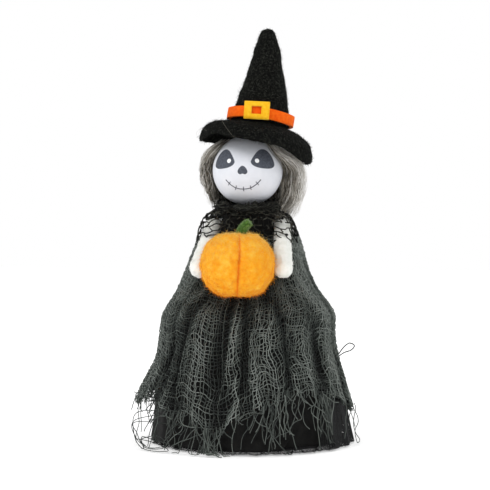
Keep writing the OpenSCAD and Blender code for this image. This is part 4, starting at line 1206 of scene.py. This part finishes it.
def build_tangles(grid):
    """Loosened threads: long ends that hang from the hem, loops on the floor at the right front, one loop at the left."""
    g = rng(150)
    hem = hem_share(grid)
    n = 40
    groups = [0.5 + g.normal(0.02, 0.10, 50), 0.5 - np.abs(g.normal(0.13, 0.05, 20)), g.uniform(0, 1, 24)]
    groups += [0.5 + g.normal(off, 3.5, 18) / 360 for off in BUNDLES]
    where = np.concatenate(groups)
    count = len(where)
    bundled = np.arange(count)[:, None] >= count - 18 * len(BUNDLES)
    start = on_grid(grid, where, around(hem, where) - np.abs(g.normal(0, 0.03, count)))
    t = np.linspace(0, 1, n)[None, :]
    out = unit(start * [1, 1, 0])
    tang = np.stack([-out[:, 1], out[:, 0], np.zeros(count)], -1)
    drop = np.where(bundled, g.uniform(22, 36, (count, 1)), g.uniform(5, 32, (count, 1)))
    sway = g.normal(0, 9, (count, 1)) * np.where(bundled, 0.35, 1)
    turns = g.uniform(0.3, 1.6, (count, 1))
    phase = g.uniform(0, 6.28, (count, 1))
    curl = g.uniform(1.0, 4.6, (count, 1))
    spin = phase + turns * 2 * math.pi * t
    across = sway * t ** 1.4 + curl * (np.sin(spin) - np.sin(phase)) * t
    p = start[:, None] + tang[:, None] * across[..., None] + out[:, None] * (1.6 + 3.0 * t + 0.3 * curl * np.cos(spin))[..., None]
    p[..., 2] -= drop * t + curl * 0.5 * (np.cos(spin) - np.cos(phase)) * t
    p[..., 2] = np.maximum(p[..., 2], 1.0 + g.uniform(0, 1.5, (count, 1)))
    p += wobble3(p, 9, 152) * 0.6
    coil = []
    for k in range(COILS):
        top = start[50 + k]
        posts = [top, (-71, -45, 21), (-73, -50, 11), (-64, -58, 4), (-46, -66, 4), (-52, -64, 9), (-69, -54, 7), (-64, -58, 2.5)]
        posts = np.array(posts, float)
        posts[1:] += g.normal(0, 1.8, (7, 3))
        posts[:, 2] = np.maximum(posts[:, 2], 1.5)
        coil.append(spline(posts, 70))
    ring = np.array([(l * 0.989, l * 0.148, z) for l, z in LEFT_STRAY])
    groups = [(p, 0.34), (np.array(coil), 0.32), (spline(ring, 50)[None], 0.5)]
    strands("gauze_loose_threads", groups, MATERIALS["gauze"], None, seed=151, finish=ride_dress,
            tints_and_shades=[g.uniform(0.3, 0.75, count), np.full(COILS, 0.3), np.array([0.3])])


# ---------- underskirt and petticoat ----------

SKIRT_FOOT = [(66.4, 36), (66.8, 30), (67.2, 22), (67.8, 14), (68.6, 7), (69.0, 4.8)]
SKIRT_INSET = 3.4
SKIRT_THICK = 0.8


def underskirt_outer(cols, rows):
    """The outside of the black skirt under the gauze: it follows the dress's folds down to its own plain foot."""
    side, front = dress_profiles(150)
    off = np.linspace(-180, 180, cols, endpoint=False)[None, :]
    r, height = dress_radius(off, side, front, 0.8)
    r = np.maximum(r - SKIRT_INSET, 20.9)
    foot = np.array(SKIRT_FOOT)
    z = np.linspace(146, 4.8, rows)
    soft = 0.9 * np.sin(np.radians(7 * off + 40)) + 0.6 * np.sin(np.radians(13 * off))
    lower = np.interp(-z, -foot[:, 1], foot[:, 0])[:, None] + soft
    upper = np.stack([np.interp(-z, -height[:, c], r[:, c]) for c in range(cols)], 1)
    low = ease(-z, -52, -34)[:, None]
    return round_z(upper * (1 - low) + lower * low, np.radians(off - 90), z[:, None])


def build_underskirt():
    cloth = MATERIALS["black_cloth"]
    outer = underskirt_outer(360, 90)
    flat = np.hypot(outer[..., 0], outer[..., 1])[..., None]
    inner = outer * np.where([True, True, False], 1 - SKIRT_THICK / flat, 1)
    points = np.concatenate([outer, inner[::-1]])
    o = clean(add_mesh("underskirt_cloth", points, [grid_faces(len(points), 360, wrap_rows=True)], cloth))
    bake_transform(o)
    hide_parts("underskirt")
    build_wrap(cloth)
    build_petticoat()


WRAP_TOP = 45.0
WRAP_FROM, WRAP_TO = 65, 216  # columns of the skirt, one a degree, counted from its back


def build_wrap(cloth):
    """The skirt's overlapping front panel, with a rounded corner at its free edge."""
    outer = underskirt_outer(360, 90)
    flat = outer[outer[:, 0, 2] < WRAP_TOP][::-1, WRAP_FROM:WRAP_TO]
    rows, cols = flat.shape[:2]
    u, v = np.meshgrid(np.linspace(0, 1, cols), np.linspace(0, 1, rows))
    mid = flat + unit(flat * [1, 1, 0]) * (1.1 + 0.5 * np.sin(9 * u + 3 * v))[..., None]
    mid[..., 2] += (9.0 * ease(u, 0.93, 1.0) ** 2 - 1.2) * (1 - v)
    inward = unit(mid * [1, 1, 0])
    points = np.stack([mid, mid - inward * 0.7]).reshape(-1, 3)
    count = rows * cols
    face = grid_faces(rows, cols, wrap_cols=False)
    edge = np.concatenate([np.arange(cols), np.arange(1, rows) * cols + cols - 1, (rows - 1) * cols + np.arange(cols - 2, -1, -1), np.arange(rows - 2, 0, -1) * cols])
    nxt = np.roll(edge, -1)
    rim = np.stack([edge, nxt, nxt + count, edge + count], -1)
    o = clean(add_mesh("underskirt_wrap", points, [face, face[:, ::-1] + count, rim], cloth))
    put(o, "base")


def petticoat_reach(angle, down):
    """The ruffle's radius; it comes out from under the skirt and shows most at the figure's left."""
    shown = np.exp(-((np.cos(angle) - 1) / 0.35) ** 2) + 0.35 * np.exp(-((np.cos(angle + 1.3) - 1) / 0.2) ** 2)
    ruffle = 0.2 + 0.4 * down + 0.7 * ease(down, 0.7, 1.0)
    return (62.5 + 2.5 * down + (2.6 + 6.5 * np.minimum(shown, 1)) * ease(down, 0.68, 1.0)
            + ruffle * (np.sin(23 * angle + 1) + 0.5 * np.sin(41 * angle)))


def build_petticoat():
    """Slanting threads both ways and level ones over a ruffled band, and a bristly cut edge."""
    g = rng(170)
    count, n = 620, 16
    t = np.linspace(0, 1, n)[None, :]
    groups = []
    for way in (1, -1):
        a = 2 * math.pi * (np.arange(count)[:, None] + g.normal(0, 0.1, (count, 1))) / count + way * 0.16 * t
        groups.append((round_z(petticoat_reach(a, t), a, 17 - 15.8 * t), 0.12))
    a = np.linspace(0, 2 * math.pi, 400)[None, :]
    t = np.linspace(0.45, 1, 20)[:, None]
    groups.append((round_z(petticoat_reach(a, t), a, 17 - 15.8 * t + 0 * a), 0.12))
    side, t = 220, np.linspace(0, 1, 24)[None, :]
    for way in (1, -1):
        a = np.radians(np.linspace(-34, 50, side))[:, None] + g.normal(0, 0.003, (side, 1)) + way * 0.1 * t
        r = 71.0 + 5.8 * t ** 1.3 + (0.3 + 0.7 * t) * np.sin(23 * a + 1)
        groups.append((round_z(r, a, 34 - 32.8 * t + 1.6 * np.sin(9 * a) * (1 - t)), 0.11))
    whisk = 1700
    a = g.uniform(0, 2 * math.pi, (whisk, 1))
    s = np.linspace(0, 1, 5)[None, :]
    r = petticoat_reach(a, 1.0) - 0.8 + g.uniform(0.8, 3.6, (whisk, 1)) * s
    z = g.uniform(1.0, 3.4, (whisk, 1)) * (1 - 0.7 * s) + 0.2
    groups.append((round_z(r, a + g.normal(0, 0.02, (whisk, 1)) * s, z), 0.1))
    pieces = strands("petticoat_tulle", groups, MATERIALS["tulle"], "base", seed=171)
    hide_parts("tulle_petticoat")


# ---------- floor, light and camera ----------

ROOM_LIGHT = 0.66


def floor_paper():
    m, nt, p, coords = nodes_of("floor_paper", 0.95)
    nt.links.new(ramp(nt, noise(nt, coords, 400.0), [(0.0, "#f4f4f4"), (1.0, "#fafafa")]), p.inputs["Base Color"])
    p.inputs["Emission Color"].default_value = (1, 1, 1, 1)
    p.inputs["Emission Strength"].default_value = 0.42
    return m


def build_stage():
    floor = add_mesh("floor", [[-3000, -3000, -0.2], [3000, -3000, -0.2], [3000, 3000, -0.2], [-3000, 3000, -0.2]],
                     [np.array([[0, 1, 2, 3]])], floor_paper())
    scene = bpy.context.scene
    world = bpy.data.worlds.new("studio")
    scene.world = world
    world.use_nodes = True
    world.node_tree.nodes["Background"].inputs["Color"].default_value = (1, 1, 1, 1)
    rays = world.node_tree.nodes.new("ShaderNodeLightPath")
    glow = world.node_tree.nodes.new("ShaderNodeMath")
    glow.operation = "MULTIPLY_ADD"
    world.node_tree.links.new(rays.outputs["Is Camera Ray"], glow.inputs[0])
    glow.inputs[1].default_value = 1.0 - ROOM_LIGHT
    glow.inputs[2].default_value = ROOM_LIGHT
    world.node_tree.links.new(glow.outputs[0], world.node_tree.nodes["Background"].inputs["Strength"])
    lamps = [("key", (-700, -900, 1100), 6.5, 500), ("fill", (900, -700, 700), 2.0, 700), ("rear", (200, 900, 900), 2.5, 500)]
    for name, place, watts, size in lamps:
        data = bpy.data.lights.new(name, "AREA")
        data.energy, data.size = watts, size * MM
        lamp = bpy.data.objects.new(name, data)
        lamp.location = [c * MM for c in place]
        aim(lamp, (0, 0, 150))
        scene.collection.objects.link(lamp)
    scene.view_settings.view_transform = "Standard"


def aim(o, target_mm):
    from mathutils import Vector
    o.rotation_mode = "QUATERNION"
    o.rotation_quaternion = (Vector([c * MM for c in target_mm]) - o.location).to_track_quat("-Z", "Y")


CAMERA_AZIMUTH = 8.5
CAMERA_AWAY = 1050.0
CAMERA_Z = 168.0
CAMERA_AIM_X = -2.0
CAMERA_AIM_Z = 142.6
VIEW_WIDTH = 357.0


def build_camera():
    data = bpy.data.cameras.new("camera")
    data.sensor_width = 36.0
    data.lens = 36.0 * CAMERA_AWAY / VIEW_WIDTH
    cam = bpy.data.objects.new("camera", data)
    a = math.radians(CAMERA_AZIMUTH)
    cam.location = [CAMERA_AWAY * MM * math.sin(a), -CAMERA_AWAY * MM * math.cos(a), CAMERA_Z * MM]
    aim(cam, (CAMERA_AIM_X, 0, CAMERA_AIM_Z))
    bpy.context.scene.collection.objects.link(cam)
    bpy.context.scene.camera = cam


dress_cad_nodes()
build_dress()
build_underskirt()
build_head()
build_hair()
build_hat()
build_pumpkin()
build_arm("arm_left_felt", 1, "left_arm")
build_arm("arm_right_felt", -1, "right_arm")
build_bodice()
build_ruff()
build_shoulder_net()
build_stage()
build_camera()
